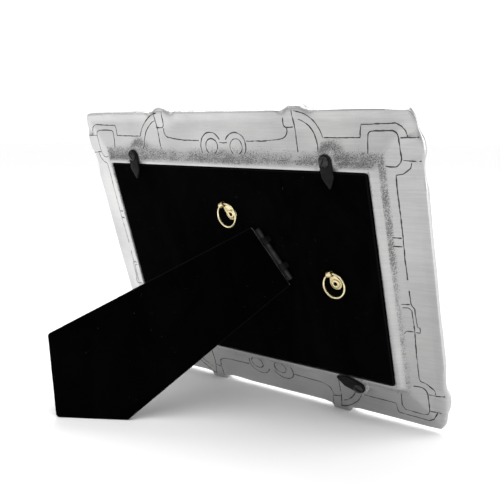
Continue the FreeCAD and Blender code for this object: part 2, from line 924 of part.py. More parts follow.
def make_hinge():
    make_board_leaf()
    make_leg_leaf()
    pin = doc.addObject("Part::Cylinder", "hinge_pin")
    pin.Label = "hinge_pin"
    pin.setExpression("Radius", bound("pin_radius"))
    pin.setExpression("Height", bound("hinge_length"))
    along = Placement(Vector(-value("hinge_length") / 2, 0, 0), Rotation(Vector(0, 1, 0), 90))
    node(pin, HINGE.multiply(along))
    board_bottom = "-(pin_height + velvet + board_core)"
    make_rivets("hinge_board_rivets", -1, board_bottom, "board_core", HINGE)
    leg_bottom = "leg_board_gap - pin_height + leg_velvet"
    make_rivets("hinge_leg_rivets", 1, leg_bottom, "leg_core", LEG)


def make_leg_block(label, corners, low, thickness):
    block = new_body(label)
    outline = new_sketch(block, label + "_outline", "XY_Plane", low)
    draw_polygon(outline, corners)
    outline_pad = pad(block, outline, thickness)
    doc.recompute()
    top = value("leg_top")
    lower = edges_where(
        outline_pad.Shape,
        lambda edge: runs_along(edge, Vector(0, 0, 1)) and edge.Vertexes[0].Point.y > top + 1,
    )
    fillet(block, outline_pad, lower, "leg_round")
    block.Placement = LEG
    return block


def make_leg():
    inner = "leg_board_gap - pin_height"
    core = make_leg_block("easel_leg_core", CORE_OUTLINE, f"{inner} + leg_velvet", "leg_core")
    slot = new_sketch(core, "leaf_slot", "XY_Plane", "-barrel_radius")
    clear = "leaf_slot_clearance"
    draw_box(
        slot,
        f"-hinge_length / 2 - {clear}",
        f"hinge_length / 2 + {clear}",
        "0",
        f"leaf_width + {clear}",
    )
    check_cut(core, slot, "leaf_thickness", 10)
    holes = new_sketch(core, "leg_rivet_holes", "XY_Plane")
    for end in (-1, 1):
        draw_circle(
            holes,
            f"{end} * rivet_spacing / 2",
            "rivet_setback",
            "rivet_radius + rivet_clearance",
        )
    cut(core, holes)
    node(core)

    cover = make_leg_block("leg_cover_block", COVER_OUTLINE, inner, "leg_core + 2 * leg_velvet")
    filling = make_leg_block(
        "leg_filling_block", CORE_OUTLINE, f"{inner} + leg_velvet", "leg_core"
    )
    velvet = doc.addObject("Part::Cut", "easel_leg_velvet")
    velvet.Label = "easel_leg_velvet"
    velvet.Base = cover
    velvet.Tool = filling
    doc.recompute()
    node(velvet)


# ---------------------------------------------------------------- ring hangers


def make_hanger(side):
    """A plate with a rolled loop, the ring in the loop and the eyelet that holds the plate."""
    loop_x, loop_z, eyelet_x, eyelet_z, tilt = HANGERS[side]
    tilted = Rotation(Vector(0, 1, 0), value(tilt))
    loop = on_frame(-value(loop_x), 0, value(loop_z), tilted)
    # The eyelet as the tilted loop's axes give it
    across = f"(-{eyelet_x} * cos({tilt}) - {eyelet_z} * sin({tilt}))"
    along = f"({eyelet_z} * cos({tilt}) - {eyelet_x} * sin({tilt}))"
    loop_level = "hanger_loop_radius + hanger_loop_lift"

    plate = new_body("hanger_plate_" + side)
    round_pad = new_sketch(plate, "pad_" + side, "XZ_Plane")
    draw_circle(round_pad, across, along, "hanger_pad_radius")
    pad(plate, round_pad, "hanger_plate", towards_back=True)
    arm = new_sketch(plate, "arm_" + side, "XZ_Plane")
    draw_polygon(
        arm,
        [
            ("-hanger_arm_width / 2", "0.2"),
            (f"{across} - hanger_pad_radius * 0.9", f"{along} + hanger_pad_radius * 0.3"),
            (f"{across} + hanger_pad_radius * 0.9", f"{along} + hanger_pad_radius * 0.3"),
            ("hanger_arm_width / 2", "0.2"),
        ],
    )
    pad(plate, arm, "hanger_plate", towards_back=True)
    doc.recompute()
    rolled = new_sketch(plate, "rolled_" + side, "YZ_Plane")
    draw_circle(rolled, loop_level, "0", "hanger_loop_radius")
    pad(plate, rolled, "hanger_loop_length", symmetric=True)
    doc.recompute()
    bore = new_sketch(plate, "loop_bore_" + side, "YZ_Plane")
    draw_circle(bore, loop_level, "0", "hanger_loop_bore")
    cut(plate, bore)
    hole = new_sketch(plate, "eyelet_hole_" + side, "XZ_Plane")
    draw_circle(hole, across, along, "eyelet_radius + eyelet_clearance")
    cut(plate, hole)
    node(plate, loop)

    ring = doc.addObject("Part::Torus", "hanger_ring_" + side)
    ring.Label = "hanger_ring_" + side
    ring.setExpression("Radius1", bound("hanger_ring_radius"))
    ring.setExpression("Radius2", bound("hanger_wire_radius"))
    hung_from = loop.multVec(Vector(0, value(loop_level), 0))
    swings_about = loop.Rotation.multVec(Vector(1, 0, 0))
    lean = math.radians(value("hanger_ring_lean"))
    hangs_down = loop.Rotation.multVec(Vector(0, math.sin(lean), -math.cos(lean)))
    across_ring = swings_about.cross(hangs_down)
    centre = hung_from + hangs_down * value("hanger_ring_radius")
    node(ring, Placement(centre, Rotation(Vector(0, 0, 1), across_ring)))

    eyelet = new_body("hanger_eyelet_" + side)
    profile = new_sketch(eyelet, "eyelet_profile_" + side, "YZ_Plane")
    draw_polygon(
        profile,
        [
            ("-(velvet + board_core)", "eyelet_bore"),
            ("-(velvet + board_core)", "eyelet_radius"),
            ("hanger_plate", "eyelet_radius"),
            ("hanger_plate", "eyelet_collar_radius"),
            ("hanger_plate + eyelet_collar_height * 0.6", "eyelet_collar_radius * 0.95"),
            ("hanger_plate + eyelet_collar_height", "eyelet_radius"),
            ("hanger_plate + eyelet_collar_height * 0.8", "eyelet_bore"),
        ],
    )
    turned = eyelet.newObject("PartDesign::Revolution", "eyelet_turned_" + side)
    turned.Profile = profile
    turned.ReferenceAxis = (profile, ["H_Axis"])
    turned.Angle = 360
    doc.recompute()
    eyelet_place = on_frame(
        -value(f"{loop_x} + {eyelet_x}"), 0, value(f"{loop_z} + {eyelet_z}")
    )
    node(eyelet, eyelet_place)


# ---------------------------------------------------------------- make, check and write

make_casting()
make_stack()
make_latches()
make_hinge()
make_leg()
for hanger_side in HANGERS:
    make_hanger(hanger_side)
doc.recompute()

for made in doc.Objects:
    if "Invalid" in made.State or "Error" in made.State:
        raise SystemExit(f"{made.Label} failed: {made.State}")

# The origin is under the middle of the whole object's box.
shapes = {piece.Label: piece.Shape.copy() for piece in NODES}
boxes = [shape.BoundBox for shape in shapes.values()]
CENTRING = Vector(
    0, -(min(box.YMin for box in boxes) + max(box.YMax for box in boxes)) / 2, 0
)
os.makedirs("parts", exist_ok=True)
for label, shape in shapes.items():
    if shape.isNull() or not shape.isValid():
        raise SystemExit(f"{label} has no valid shape")
    shape.translate(CENTRING)
    shape.exportStep(f"parts/{label}.step")
    print(f"{label}: {len(shape.Solids)} solid(s), {shape.Volume:.1f} mm3")
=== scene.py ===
"""Looks for the cast table frame: casting, velvet, brass hangers, latches and easel leg."""
import json
import math

import bmesh
import bpy
import numpy as np
from mathutils import Matrix, Vector, noise
from mathutils.bvhtree import BVHTree


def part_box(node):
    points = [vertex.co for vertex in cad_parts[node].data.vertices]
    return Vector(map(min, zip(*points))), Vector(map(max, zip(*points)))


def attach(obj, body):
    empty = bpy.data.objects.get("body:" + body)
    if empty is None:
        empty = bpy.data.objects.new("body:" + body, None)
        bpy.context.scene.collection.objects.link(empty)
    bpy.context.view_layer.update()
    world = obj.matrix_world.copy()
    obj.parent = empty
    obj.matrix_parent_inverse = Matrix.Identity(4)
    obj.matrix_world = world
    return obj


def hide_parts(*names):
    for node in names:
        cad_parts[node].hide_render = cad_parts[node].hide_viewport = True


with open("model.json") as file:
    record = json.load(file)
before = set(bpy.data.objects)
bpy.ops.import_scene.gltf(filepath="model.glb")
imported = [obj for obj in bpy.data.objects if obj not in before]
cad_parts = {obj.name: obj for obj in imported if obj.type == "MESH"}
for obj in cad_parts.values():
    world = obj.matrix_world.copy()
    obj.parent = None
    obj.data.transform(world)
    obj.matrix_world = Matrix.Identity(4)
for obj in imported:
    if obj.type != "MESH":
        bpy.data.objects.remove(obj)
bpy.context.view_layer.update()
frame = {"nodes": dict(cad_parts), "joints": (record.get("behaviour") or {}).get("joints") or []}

NODES = frame["nodes"]
MM = 0.001

# ---- places from the frame
JOINTS = {joint["name"]: joint for joint in frame["joints"]}
LATCHES = ("top_left", "top_right", "bottom_left", "bottom_right")
BOSS_RISE = 0.3 * MM


def pivot(joint):
    return Vector(JOINTS[joint]["pos_m"])


def axis(joint):
    return Vector(JOINTS[joint]["axis"]).normalized()


BACKWARD = axis("top_left_button_pivot")
UPWARD = Vector((1, 0, 0)).cross(BACKWARD)
latch_middle = sum((pivot(f"{name}_button_pivot") for name in LATCHES), Vector()) / 4
BOARD_CENTRE = latch_middle - BACKWARD * BOSS_RISE
# The board's axes as seen from behind: X to the right, Y up the face and Z out of the back.
BACK = Matrix.Translation(BOARD_CENTRE) @ Matrix((
    (-1, UPWARD.x, BACKWARD.x, 0),
    (0, UPWARD.y, BACKWARD.y, 0),
    (0, UPWARD.z, BACKWARD.z, 0),
    (0, 0, 0, 1),
))


# ---- node tools
def feed(tree, socket, value):
    """Fills an input with a value, or joins another node's socket to it."""
    if isinstance(value, bpy.types.NodeSocket):
        tree.links.new(value, socket)
    else:
        socket.default_value = value


def put(tree, kind, feeds=None, **settings):
    """A node with its settings made and its inputs filled with values or sockets."""
    node = tree.nodes.new(kind)
    for name, value in settings.items():
        setattr(node, name, value)
    for name, value in (feeds or {}).items():
        feed(tree, node.inputs[name], value)
    return node


def reckon(tree, how, *terms):
    """One sum on numbers."""
    return put(tree, "ShaderNodeMath", dict(enumerate(terms)), operation=how).outputs[0]


def spread(tree, value, low, high, to_low=0.0, to_high=1.0):
    """Stretches a range of values to another and holds it at its ends."""
    feeds = {0: value, 1: low, 2: high, 3: to_low, 4: to_high}
    return put(tree, "ShaderNodeMapRange", feeds, interpolation_type="SMOOTHSTEP").outputs[0]


def tint(tree, amount, first, second, how="MIX"):
    """One colour laid over another."""
    feeds = {0: amount, 6: first, 7: second}
    return put(tree, "ShaderNodeMix", feeds, data_type="RGBA", blend_type=how).outputs[2]


def clouds(tree, place, scale, detail=3.0, roughness=0.55, distortion=0.0):
    feeds = {"Vector": place, "Scale": scale, "Detail": detail, "Roughness": roughness,
             "Distortion": distortion}
    return put(tree, "ShaderNodeTexNoise", feeds).outputs["Fac"]


def cells(tree, place, scale):
    """Distance to the nearest of many scattered points."""
    feeds = {"Vector": place, "Scale": scale}
    return put(tree, "ShaderNodeTexVoronoi", feeds, feature="F1").outputs["Distance"]


def stretched(tree, place, along):
    """The same place, drawn out or squeezed along each axis."""
    feeds = {0: place, 1: along}
    return put(tree, "ShaderNodeVectorMath", feeds, operation="MULTIPLY").outputs[0]


def new_group(name, kind, inputs, outputs):
    """An empty node group with named sockets; gives the tree, its inputs and its outputs."""
    tree = bpy.data.node_groups.new(name, kind)
    for label, (socket_type, value) in inputs.items():
        socket = tree.interface.new_socket(label, in_out="INPUT", socket_type=socket_type)
        if value is not None:
            socket.default_value = value
    for label, socket_type in outputs.items():
        tree.interface.new_socket(label, in_out="OUTPUT", socket_type=socket_type)
    start = tree.nodes.new("NodeGroupInput")
    end = tree.nodes.new("NodeGroupOutput")
    return tree, start.outputs, end.inputs


VALUE, PLACE = "NodeSocketFloat", "NodeSocketVector"


def hand_out(tree, give, **results):
    """Joins each result to the group's output of that name."""
    for label, socket in results.items():
        tree.links.new(socket, give[label])
    return tree


# ---- shared effects
def make_cast_skin():
    """Sand marks of a poured metal: pits, their depth and a slow uneven tone."""
    tree, take, give = new_group(
        "cast_skin", "ShaderNodeTree",
        {"Place": (PLACE, None), "Sand Size": (VALUE, 1.0), "Roughened": (VALUE, 0.0)},
        {"Pits": VALUE, "Height": VALUE, "Tone": VALUE})
    sand = reckon(tree, "DIVIDE", 1300.0, take["Sand Size"])
    grains = clouds(tree, take["Place"], sand, 3.0, 0.7)
    clumps = clouds(tree, take["Place"], 170.0, 3.0, 0.6)
    crowd = reckon(tree, "MULTIPLY_ADD", clumps, 0.28, grains)
    reach = spread(tree, take["Roughened"], 0.0, 1.0, 0.86, 0.615)
    depth = reckon(tree, "SUBTRACT", crowd, reach)
    pits = spread(tree, depth, -0.015, 0.045)
    lumps = clouds(tree, take["Place"], 150.0, 3.0, 0.5)
    fine = reckon(tree, "MULTIPLY", grains, spread(tree, take["Roughened"], 0.0, 0.6, 0.12, 1.0))
    low = reckon(tree, "MULTIPLY_ADD", pits, -0.6, fine)
    return hand_out(tree, give, Pits=pits, Height=reckon(tree, "MULTIPLY_ADD", lumps, 0.4, low),
                    Tone=clouds(tree, take["Place"], 26.0, 4.0, 0.55))


def make_handling():
    """Polish lines, smudges and dust that handled metal and lacquer pick up."""
    tree, take, give = new_group(
        "handling", "ShaderNodeTree",
        {"Place": (PLACE, None), "Line Spread": (PLACE, (60.0, 60.0, 1400.0)),
         "Smudge Size": (VALUE, 1.0)},
        {"Lines": VALUE, "Smudge": VALUE, "Dust": VALUE})
    lines = clouds(tree, stretched(tree, take["Place"], take["Line Spread"]), 1.0, 3.0, 0.6)
    smudge = clouds(tree, take["Place"], reckon(tree, "DIVIDE", 70.0, take["Smudge Size"]),
                    4.0, 0.6, 0.8)
    specks = cells(tree, take["Place"], 520.0)
    dust = reckon(tree, "MULTIPLY", spread(tree, specks, 0.10, 0.02),
                  spread(tree, smudge, 0.45, 0.65))
    return hand_out(tree, give, Lines=lines, Smudge=spread(tree, smudge, 0.35, 0.68), Dust=dust)


def make_pile():
    """Short cut pile: its height, the way it has been brushed and the lint on it."""
    tree, take, give = new_group(
        "cut_pile", "ShaderNodeTree",
        {"Place": (PLACE, None), "Pile Size": (VALUE, 1.0), "Lint": (VALUE, 0.3)},
        {"Height": VALUE, "Brushed": VALUE, "Lint": VALUE})
    tufts = clouds(tree, take["Place"], reckon(tree, "DIVIDE", 3200.0, take["Pile Size"]),
                   3.0, 0.75)
    brushed = clouds(tree, stretched(tree, take["Place"], (1.0, 1.0, 0.45)), 42.0, 5.0, 0.6, 1.4)
    lint_threads = cells(tree, take["Place"], 260.0)
    scarce = clouds(tree, take["Place"], 75.0, 2.0)
    lint = reckon(tree, "MULTIPLY", spread(tree, lint_threads, 0.09, 0.02),
                  spread(tree, scarce, 0.52, 0.60))
    return hand_out(tree, give, Height=reckon(tree, "MULTIPLY_ADD", brushed, 0.8, tufts),
                    Brushed=spread(tree, brushed, 0.32, 0.66),
                    Lint=reckon(tree, "MULTIPLY", lint, take["Lint"]))


def make_fibres():
    """Pressed fibres of card and paper: flecks, cloudiness and a felted height."""
    tree, take, give = new_group(
        "paper_fibres", "ShaderNodeTree",
        {"Place": (PLACE, None), "Fibre Size": (VALUE, 1.0)},
        {"Fleck": VALUE, "Cloud": VALUE, "Height": VALUE})
    size = reckon(tree, "DIVIDE", 1.0, take["Fibre Size"])
    fibres = clouds(tree, stretched(tree, take["Place"], (240.0, 240.0, 900.0)), size, 4.0,
                    0.7, 1.6)
    flecks = cells(tree, take["Place"], reckon(tree, "MULTIPLY", size, 900.0))
    return hand_out(tree, give, Fleck=spread(tree, flecks, 0.14, 0.04), Height=fibres,
                    Cloud=clouds(tree, take["Place"], 90.0, 3.0))


CAST_SKIN = make_cast_skin()
HANDLING = make_handling()
CUT_PILE = make_pile()
PAPER_FIBRES = make_fibres()


# ---- materials
def start_material(name):
    """A fresh material; gives it, its tree, its Principled shader and the Object place."""
    material = bpy.data.materials.new(name)
    material.use_nodes = True
    tree = material.node_tree
    shader = tree.nodes["Principled BSDF"]
    place = put(tree, "ShaderNodeTexCoord").outputs["Object"]
    return material, tree, shader, place


def effect(tree, group, **feeds):
    node = tree.nodes.new("ShaderNodeGroup")
    node.node_tree = group
    for label, value in feeds.items():
        feed(tree, node.inputs[label.replace("_", " ")], value)
    return node.outputs


def finish_shader(tree, shader, colour, roughness, height, strength, distance, **plain):
    """Feeds the shader: colour and roughness from nodes, bump from height, the rest plain."""
    tree.links.new(colour, shader.inputs["Base Color"])
    tree.links.new(roughness, shader.inputs["Roughness"])
    bump = put(tree, "ShaderNodeBump",
               {"Height": height, "Strength": strength, "Distance": distance})
    tree.links.new(bump.outputs[0], shader.inputs["Normal"])
    for label, value in plain.items():
        shader.inputs[label.replace("_", " ")].default_value = value


def attribute(tree, name):
    return put(tree, "ShaderNodeAttribute", attribute_name=name).outputs["Fac"]


def make_aluminium():
    material, tree, shader, place = start_material("satin_cast_aluminium")
    rough_band = attribute(tree, "sand_band")
    skin = effect(tree, CAST_SKIN, Place=place, Sand_Size=0.55, Roughened=rough_band)
    worn = effect(tree, HANDLING, Place=place, Smudge_Size=1.6)
    cloud = spread(tree, skin["Tone"], 0.3, 0.7)
    # Painted light: a shaded and a lit copy of the same metal, each clouded at random. The next
    # lines mix them by object X, so the metal is lighter towards the left of the view and darker
    # towards the right, as the light falls across the frame.
    shaded_right_colour = tint(tree, cloud, (0.375, 0.375, 0.38, 1), (0.435, 0.435, 0.43, 1))
    lit_left_colour = tint(tree, cloud, (0.48, 0.48, 0.485, 1), (0.56, 0.56, 0.555, 1))
    along = put(tree, "ShaderNodeSeparateXYZ", {0: place}).outputs["X"]
    tone = tint(tree, spread(tree, along, -0.09, 0.06), shaded_right_colour, lit_left_colour)
    lined = tint(tree, spread(tree, worn["Lines"], 0.42, 0.62, 0.0, 0.12), tone,
                 (0.66, 0.66, 0.65, 1))
    pitted = tint(tree, reckon(tree, "MULTIPLY", skin["Pits"], 0.8), lined,
                  (0.13, 0.13, 0.132, 1))
    smudged = reckon(tree, "MULTIPLY_ADD", worn["Smudge"], 0.10, 0.34)
    sanded = reckon(tree, "MULTIPLY_ADD", rough_band, 0.12, smudged)
    rough = reckon(tree, "MULTIPLY_ADD", skin["Pits"], 0.2, sanded)
    finish_shader(tree, shader, pitted, rough, skin["Height"], 0.45, 0.00022, Metallic=1.0)
    return material


def make_groove_metal():
    material, tree, shader, place = start_material("oxide_in_engraving")
    skin = effect(tree, CAST_SKIN, Place=place, Sand_Size=0.8, Roughened=0.7)
    worn = effect(tree, HANDLING, Place=place, Smudge_Size=0.5)
    dark = tint(tree, skin["Tone"], (0.022, 0.022, 0.024, 1), (0.075, 0.075, 0.077, 1))
    colour = tint(tree, worn["Smudge"], dark, (0.12, 0.12, 0.12, 1))
    rough = reckon(tree, "MULTIPLY_ADD", skin["Pits"], 0.15, 0.62)
    finish_shader(tree, shader, colour, rough, skin["Height"], 0.5, 0.00015, Metallic=0.7)
    return material


def make_velvet(name, pile_size, nap, lint_amount):
    material, tree, shader, place = start_material(name)
    pile = effect(tree, CUT_PILE, Place=place, Pile_Size=pile_size, Lint=lint_amount)
    cloth = tint(tree, pile["Brushed"], (0.0003, 0.0003, 0.0003, 1), nap)
    # The cloth colour is made lighter along its folded edges.
    lighter_on_folds = tint(tree, reckon(tree, "MULTIPLY", attribute(tree, "fold"), 0.35), cloth,
                  (0.012, 0.012, 0.0125, 1))
    linted = tint(tree, pile["Lint"], lighter_on_folds, (0.035, 0.035, 0.035, 1))
    rough = reckon(tree, "MULTIPLY_ADD", pile["Brushed"], -0.08, 0.98)
    finish_shader(tree, shader, linted, rough, pile["Height"], 0.55, 0.00025,
                  Specular_IOR_Level=0.015, Sheen_Weight=0.004, Sheen_Roughness=0.45,
                  Sheen_Tint=(0.75, 0.75, 0.8, 1))
    return material


def make_brass(name, light, dark, roughness, lines):
    material, tree, shader, place = start_material(name)
    worn = effect(tree, HANDLING, Place=place, Line_Spread=lines, Smudge_Size=0.25)
    lacquer = tint(tree, worn["Smudge"], light, dark)
    lined = tint(tree, spread(tree, worn["Lines"], 0.35, 0.7, 0.0, 0.5), lacquer,
                 (0.86, 0.74, 0.42, 1))
    dusty = tint(tree, reckon(tree, "MULTIPLY", worn["Dust"], 0.35), lined,
                 (0.42, 0.37, 0.24, 1))
    rough = reckon(tree, "MULTIPLY_ADD", worn["Smudge"], 0.12, roughness)
    finish_shader(tree, shader, dusty, rough, worn["Lines"], 0.12, 0.00006, Metallic=1.0)
    return material


def make_dark_metal(name, base, edge, roughness, metallic, lines, gloss):
    material, tree, shader, place = start_material(name)
    worn = effect(tree, HANDLING, Place=place, Line_Spread=lines, Smudge_Size=0.3)
    skin = effect(tree, CAST_SKIN, Place=place, Sand_Size=0.45, Roughened=0.25)
    finish = tint(tree, worn["Smudge"], base, edge)
    lined = tint(tree, spread(tree, worn["Lines"], 0.45, 0.75, 0.0, 0.45), finish, edge)
    dusty = tint(tree, reckon(tree, "MULTIPLY", worn["Dust"], 0.3), lined,
                 (0.06, 0.06, 0.06, 1))
    rough = reckon(tree, "MULTIPLY_ADD", worn["Smudge"], 0.14, roughness)
    finish_shader(tree, shader, dusty, rough, skin["Height"], 0.22, 0.00008,
                  Metallic=metallic, Specular_IOR_Level=gloss)
    return material


def make_card(name, pale, deep, fibre_size):
    material, tree, shader, place = start_material(name)
    fibres = effect(tree, PAPER_FIBRES, Place=place, Fibre_Size=fibre_size)
    cloudy = tint(tree, fibres["Cloud"], pale, deep)
    flecked = tint(tree, reckon(tree, "MULTIPLY", fibres["Fleck"], 0.4), cloudy, deep)
    rough = reckon(tree, "MULTIPLY_ADD", fibres["Height"], 0.1, 0.8)
    finish_shader(tree, shader, flecked, rough, fibres["Height"], 0.35, 0.00012,
                  Specular_IOR_Level=0.25)
    return material


def make_glass():
    material, tree, shader, place = start_material("picture_glass")
    worn = effect(tree, HANDLING, Place=place, Smudge_Size=1.2)
    rough = reckon(tree, "MULTIPLY_ADD", worn["Smudge"], 0.018, 0.004)
    dusty = tint(tree, reckon(tree, "MULTIPLY", worn["Dust"], 0.06), (0.96, 0.985, 0.975, 1),
                 (0.8, 0.82, 0.82, 1))
    finish_shader(tree, shader, dusty, rough, worn["Lines"], 0.02, 0.00001,
                  Transmission_Weight=1.0, IOR=1.52)
    return material


def make_print():
    """A printed view of dunes under a pale sky."""
    material, tree, shader, place = start_material("photo_paper_print")
    fibres = effect(tree, PAPER_FIBRES, Place=place, Fibre_Size=0.6)
    parts = put(tree, "ShaderNodeSeparateXYZ", {0: place}).outputs
    low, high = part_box("photo_print")
    height = spread(tree, parts["Z"], low.z + 0.006, high.z - 0.006)
    sky = tint(tree, height, (0.78, 0.66, 0.50, 1), (0.34, 0.47, 0.60, 1))
    view = tint(tree, spread(tree, clouds(tree, stretched(tree, place, (16.0, 1.0, 46.0)),
                                          1.0, 5.0, 0.6), 0.50, 0.72),
                sky, (0.88, 0.85, 0.80, 1))
    ridges = ((0.56, 0.16, 14.0, (0.46, 0.42, 0.40, 1)),
              (0.42, 0.20, 19.0, (0.42, 0.33, 0.24, 1)),
              (0.26, 0.22, 11.0, (0.27, 0.19, 0.12, 1)),
              (0.12, 0.14, 24.0, (0.12, 0.085, 0.055, 1)))
    for level, swing, scale, earth in ridges:
        outline = clouds(tree, stretched(tree, place, (scale, 0.0, 0.0)), 1.0, 4.0, 0.45)
        crest = reckon(tree, "MULTIPLY_ADD", outline, swing, level - swing / 2)
        under = spread(tree, reckon(tree, "SUBTRACT", crest, height), -0.004, 0.006)
        view = tint(tree, under, view, earth)
    grained = tint(tree, reckon(tree, "MULTIPLY", fibres["Cloud"], 0.12), view,
                   (0.5, 0.45, 0.38, 1))
    rough = reckon(tree, "MULTIPLY_ADD", fibres["Fleck"], 0.1, 0.38)
    finish_shader(tree, shader, grained, rough, fibres["Height"], 0.08, 0.00004,
                  Specular_IOR_Level=0.45)
    return material


def make_floor_material():
    material, tree, shader, place = start_material("pale_studio_floor")
    grain = clouds(tree, place, 3.0, 3.0)
    colour = tint(tree, grain, (0.955, 0.955, 0.955, 1), (0.965, 0.965, 0.965, 1))
    rough = reckon(tree, "MULTIPLY_ADD", grain, 0.1, 0.75)
    finish_shader(tree, shader, colour, rough, grain, 0.02, 0.0005, Specular_IOR_Level=0.1)
    return material


ALUMINIUM = make_aluminium()
GROOVE_METAL = make_groove_metal()
BOARD_VELVET = make_velvet("black_velvet_board", 1.0, (0.0011, 0.0011, 0.0012, 1), 0.22)
LEG_VELVET = make_velvet("black_velvet_leg", 0.9, (0.0008, 0.0008, 0.0009, 1), 0.20)
RING_BRASS = make_brass("bright_ring_brass", (0.82, 0.74, 0.50, 1), (0.66, 0.57, 0.34, 1),
                        0.16, (900.0, 900.0, 900.0))
PLATE_BRASS = make_brass("pressed_plate_brass", (0.76, 0.66, 0.40, 1), (0.58, 0.48, 0.26, 1),
                         0.24, (1200.0, 1200.0, 90.0))
ALONG_LEAF, ALONG_LATCH = (1500.0, 1500.0, 120.0), (1300.0, 1300.0, 160.0)
# The board's hinge leaf takes a darker copy of the hinge steel: painted shade for the leaf that
# lies in shade.
SHADE_DARKENED_HINGE_STEEL = make_dark_metal("painted_hinge_leaf", (0.004, 0.004, 0.0042, 1),
                              (0.010, 0.010, 0.0105, 1), 0.45, 0.2, ALONG_LEAF, 0.06)
HINGE_STEEL = make_dark_metal("blackened_hinge_steel", (0.014, 0.014, 0.015, 1),
                              (0.035, 0.035, 0.037, 1), 0.40, 0.5, ALONG_LEAF, 0.2)
LATCH_BLACK = make_dark_metal("satin_black_latch", (0.006, 0.006, 0.0065, 1),
                              (0.012, 0.012, 0.0125, 1), 0.36, 0.2, ALONG_LATCH, 0.065)
SCREW_BLACK = make_dark_metal("black_oxide_screw", (0.006, 0.006, 0.007, 1),
                              (0.02, 0.02, 0.021, 1), 0.16, 0.3, (900.0, 900.0, 900.0), 0.4)
GREY_BOARD = make_card("pressed_grey_board", (0.20, 0.19, 0.175, 1), (0.12, 0.112, 0.10, 1), 1.2)
LINING_PAPER = make_card("cream_lining_paper", (0.62, 0.58, 0.49, 1), (0.50, 0.46, 0.38, 1), 0.8)
LINT = make_card("grey_lint_fibre", (0.16, 0.16, 0.16, 1), (0.09, 0.09, 0.09, 1), 0.5)
GLASS = make_glass()
PRINT = make_print()


# ---- mesh tools
def cad_copy(node, into=None):
    """A merged copy of a CAD node's mesh, moved into other axes if a matrix is given."""
    shape = bmesh.new()
    shape.from_mesh(NODES[node].data)
    bmesh.ops.remove_doubles(shape, verts=shape.verts, dist=1e-7)
    if into is not None:
        shape.transform(into)
    return shape


def join_flats(shape, angle=0.5):
    """Turns the triangles of each flat face back into one face."""
    bmesh.ops.dissolve_limit(shape, angle_limit=math.radians(angle), verts=shape.verts,
                             edges=shape.edges)


def soften_edges(shape, width, segments=3, over=28):
    """Rounds every edge that turns more than a given angle."""
    sharp = [edge for edge in shape.edges
             if edge.is_manifold and edge.calc_face_angle(0) > math.radians(over)]
    bmesh.ops.bevel(shape, geom=sharp, offset=width, segments=segments, profile=0.5,
                    affect="EDGES", clamp_overlap=True)


def smooth_faces(mesh, angle=None):
    """Smooth shading all over; edges that turn more than the angle, if given, stay hard."""
    mesh.polygons.foreach_set("use_smooth", [True] * len(mesh.polygons))
    if angle is not None:
        mesh.set_sharp_from_angle(angle=math.radians(angle))


def to_mesh(shape, name, material, smooth=35):
    """Writes a bmesh out as a mesh with smooth faces and its hard edges kept."""
    mesh = bpy.data.meshes.new(name)
    shape.to_mesh(mesh)
    shape.free()
    mesh.materials.clear()
    mesh.materials.append(material)
    smooth_faces(mesh, smooth)
    return mesh


def show(name, mesh):
    thing = bpy.data.objects.new(name, mesh)
    bpy.context.scene.collection.objects.link(thing)
    return thing


def fit(name, mesh, body, slot, *nodes):
    """Shows a finished mesh as a piece that rides on a body and stands for CAD nodes."""
    thing = show(name, mesh)
    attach(thing, body)
    if nodes:
        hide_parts(*nodes)
    return thing


def plain_result(thing, name):
    """The evaluated object as a plain mesh; the object itself is removed."""
    graph = bpy.context.evaluated_depsgraph_get()
    mesh = bpy.data.meshes.new_from_object(thing.evaluated_get(graph))
    mesh.name = name
    bpy.data.objects.remove(thing)
    return mesh


def cut_out(body, tool, name, keep_material=False):
    """A body with a tool taken out of it, as a mesh; both objects are removed."""
    cut = body.modifiers.new("cut", "BOOLEAN")
    cut.operation, cut.object, cut.solver = "DIFFERENCE", tool, "MANIFOLD"
    if keep_material:
        cut.material_mode = "TRANSFER"
    left = plain_result(body, name)
    bpy.data.objects.remove(tool)
    return left


def run_tree(thing, tree, name, **inputs):
    """Runs a geometry tree on an object with its named inputs set, and gives the mesh."""
    modifier = thing.modifiers.new(name, "NODES")
    modifier.node_group = tree
    for item in tree.interface.items_tree:
        if item.in_out == "INPUT" and item.name.replace(" ", "_").lower() in inputs:
            modifier[item.identifier] = inputs[item.name.replace(" ", "_").lower()]
    return plain_result(thing, name)


def points_of(mesh):
    places = np.empty(len(mesh.vertices) * 3, np.float32)
    mesh.vertices.foreach_get("co", places)
    return places.reshape(-1, 3).astype(float)


def move_points(mesh, places):
    mesh.vertices.foreach_set("co", places.astype(np.float32).ravel())
    mesh.update()


def store(mesh, name, values):
    layer = mesh.attributes.get(name) or mesh.attributes.new(name, "FLOAT", "POINT")
    layer.data.foreach_set("value", values.astype(np.float32))


def ease(values, low, high):
    """0 below low, 1 above high and a smooth rise between."""
    share = np.clip((values - low) / (high - low), 0, 1)
    return share * share * (3 - 2 * share)


def relax(mesh, weights, rounds, pull=0.5):
    """Draws each point towards the middle of its neighbours, by its own weight."""
    ends = np.empty(len(mesh.edges) * 2, np.int32)
    mesh.edges.foreach_get("vertices", ends)
    one, two = ends.reshape(-1, 2).T
    count = np.bincount(ends, minlength=len(mesh.vertices))[:, None]
    places = points_of(mesh)
    for _ in range(rounds):
        middle = np.stack([np.bincount(one, places[two, k], len(places))
                           + np.bincount(two, places[one, k], len(places))
                           for k in range(3)], axis=1) / count
        places += (middle - places) * (pull * weights)[:, None]
    move_points(mesh, places)


# ---- geometry trees
def geometry_tree(name, inputs):
    sockets = {"Geometry": ("NodeSocketGeometry", None), **inputs}
    return new_group(name, "GeometryNodeTree", sockets, {"Geometry": "NodeSocketGeometry"})


def end_tree(tree, geometry, material, out):
    """The last two steps of every tree: real geometry, then its material."""
    real = put(tree, "GeometryNodeRealizeInstances", {"Geometry": geometry}).outputs[0]
    dressed = put(tree, "GeometryNodeSetMaterial", {"Geometry": real, "Material": material})
    tree.links.new(dressed.outputs[0], out["Geometry"])
    return tree


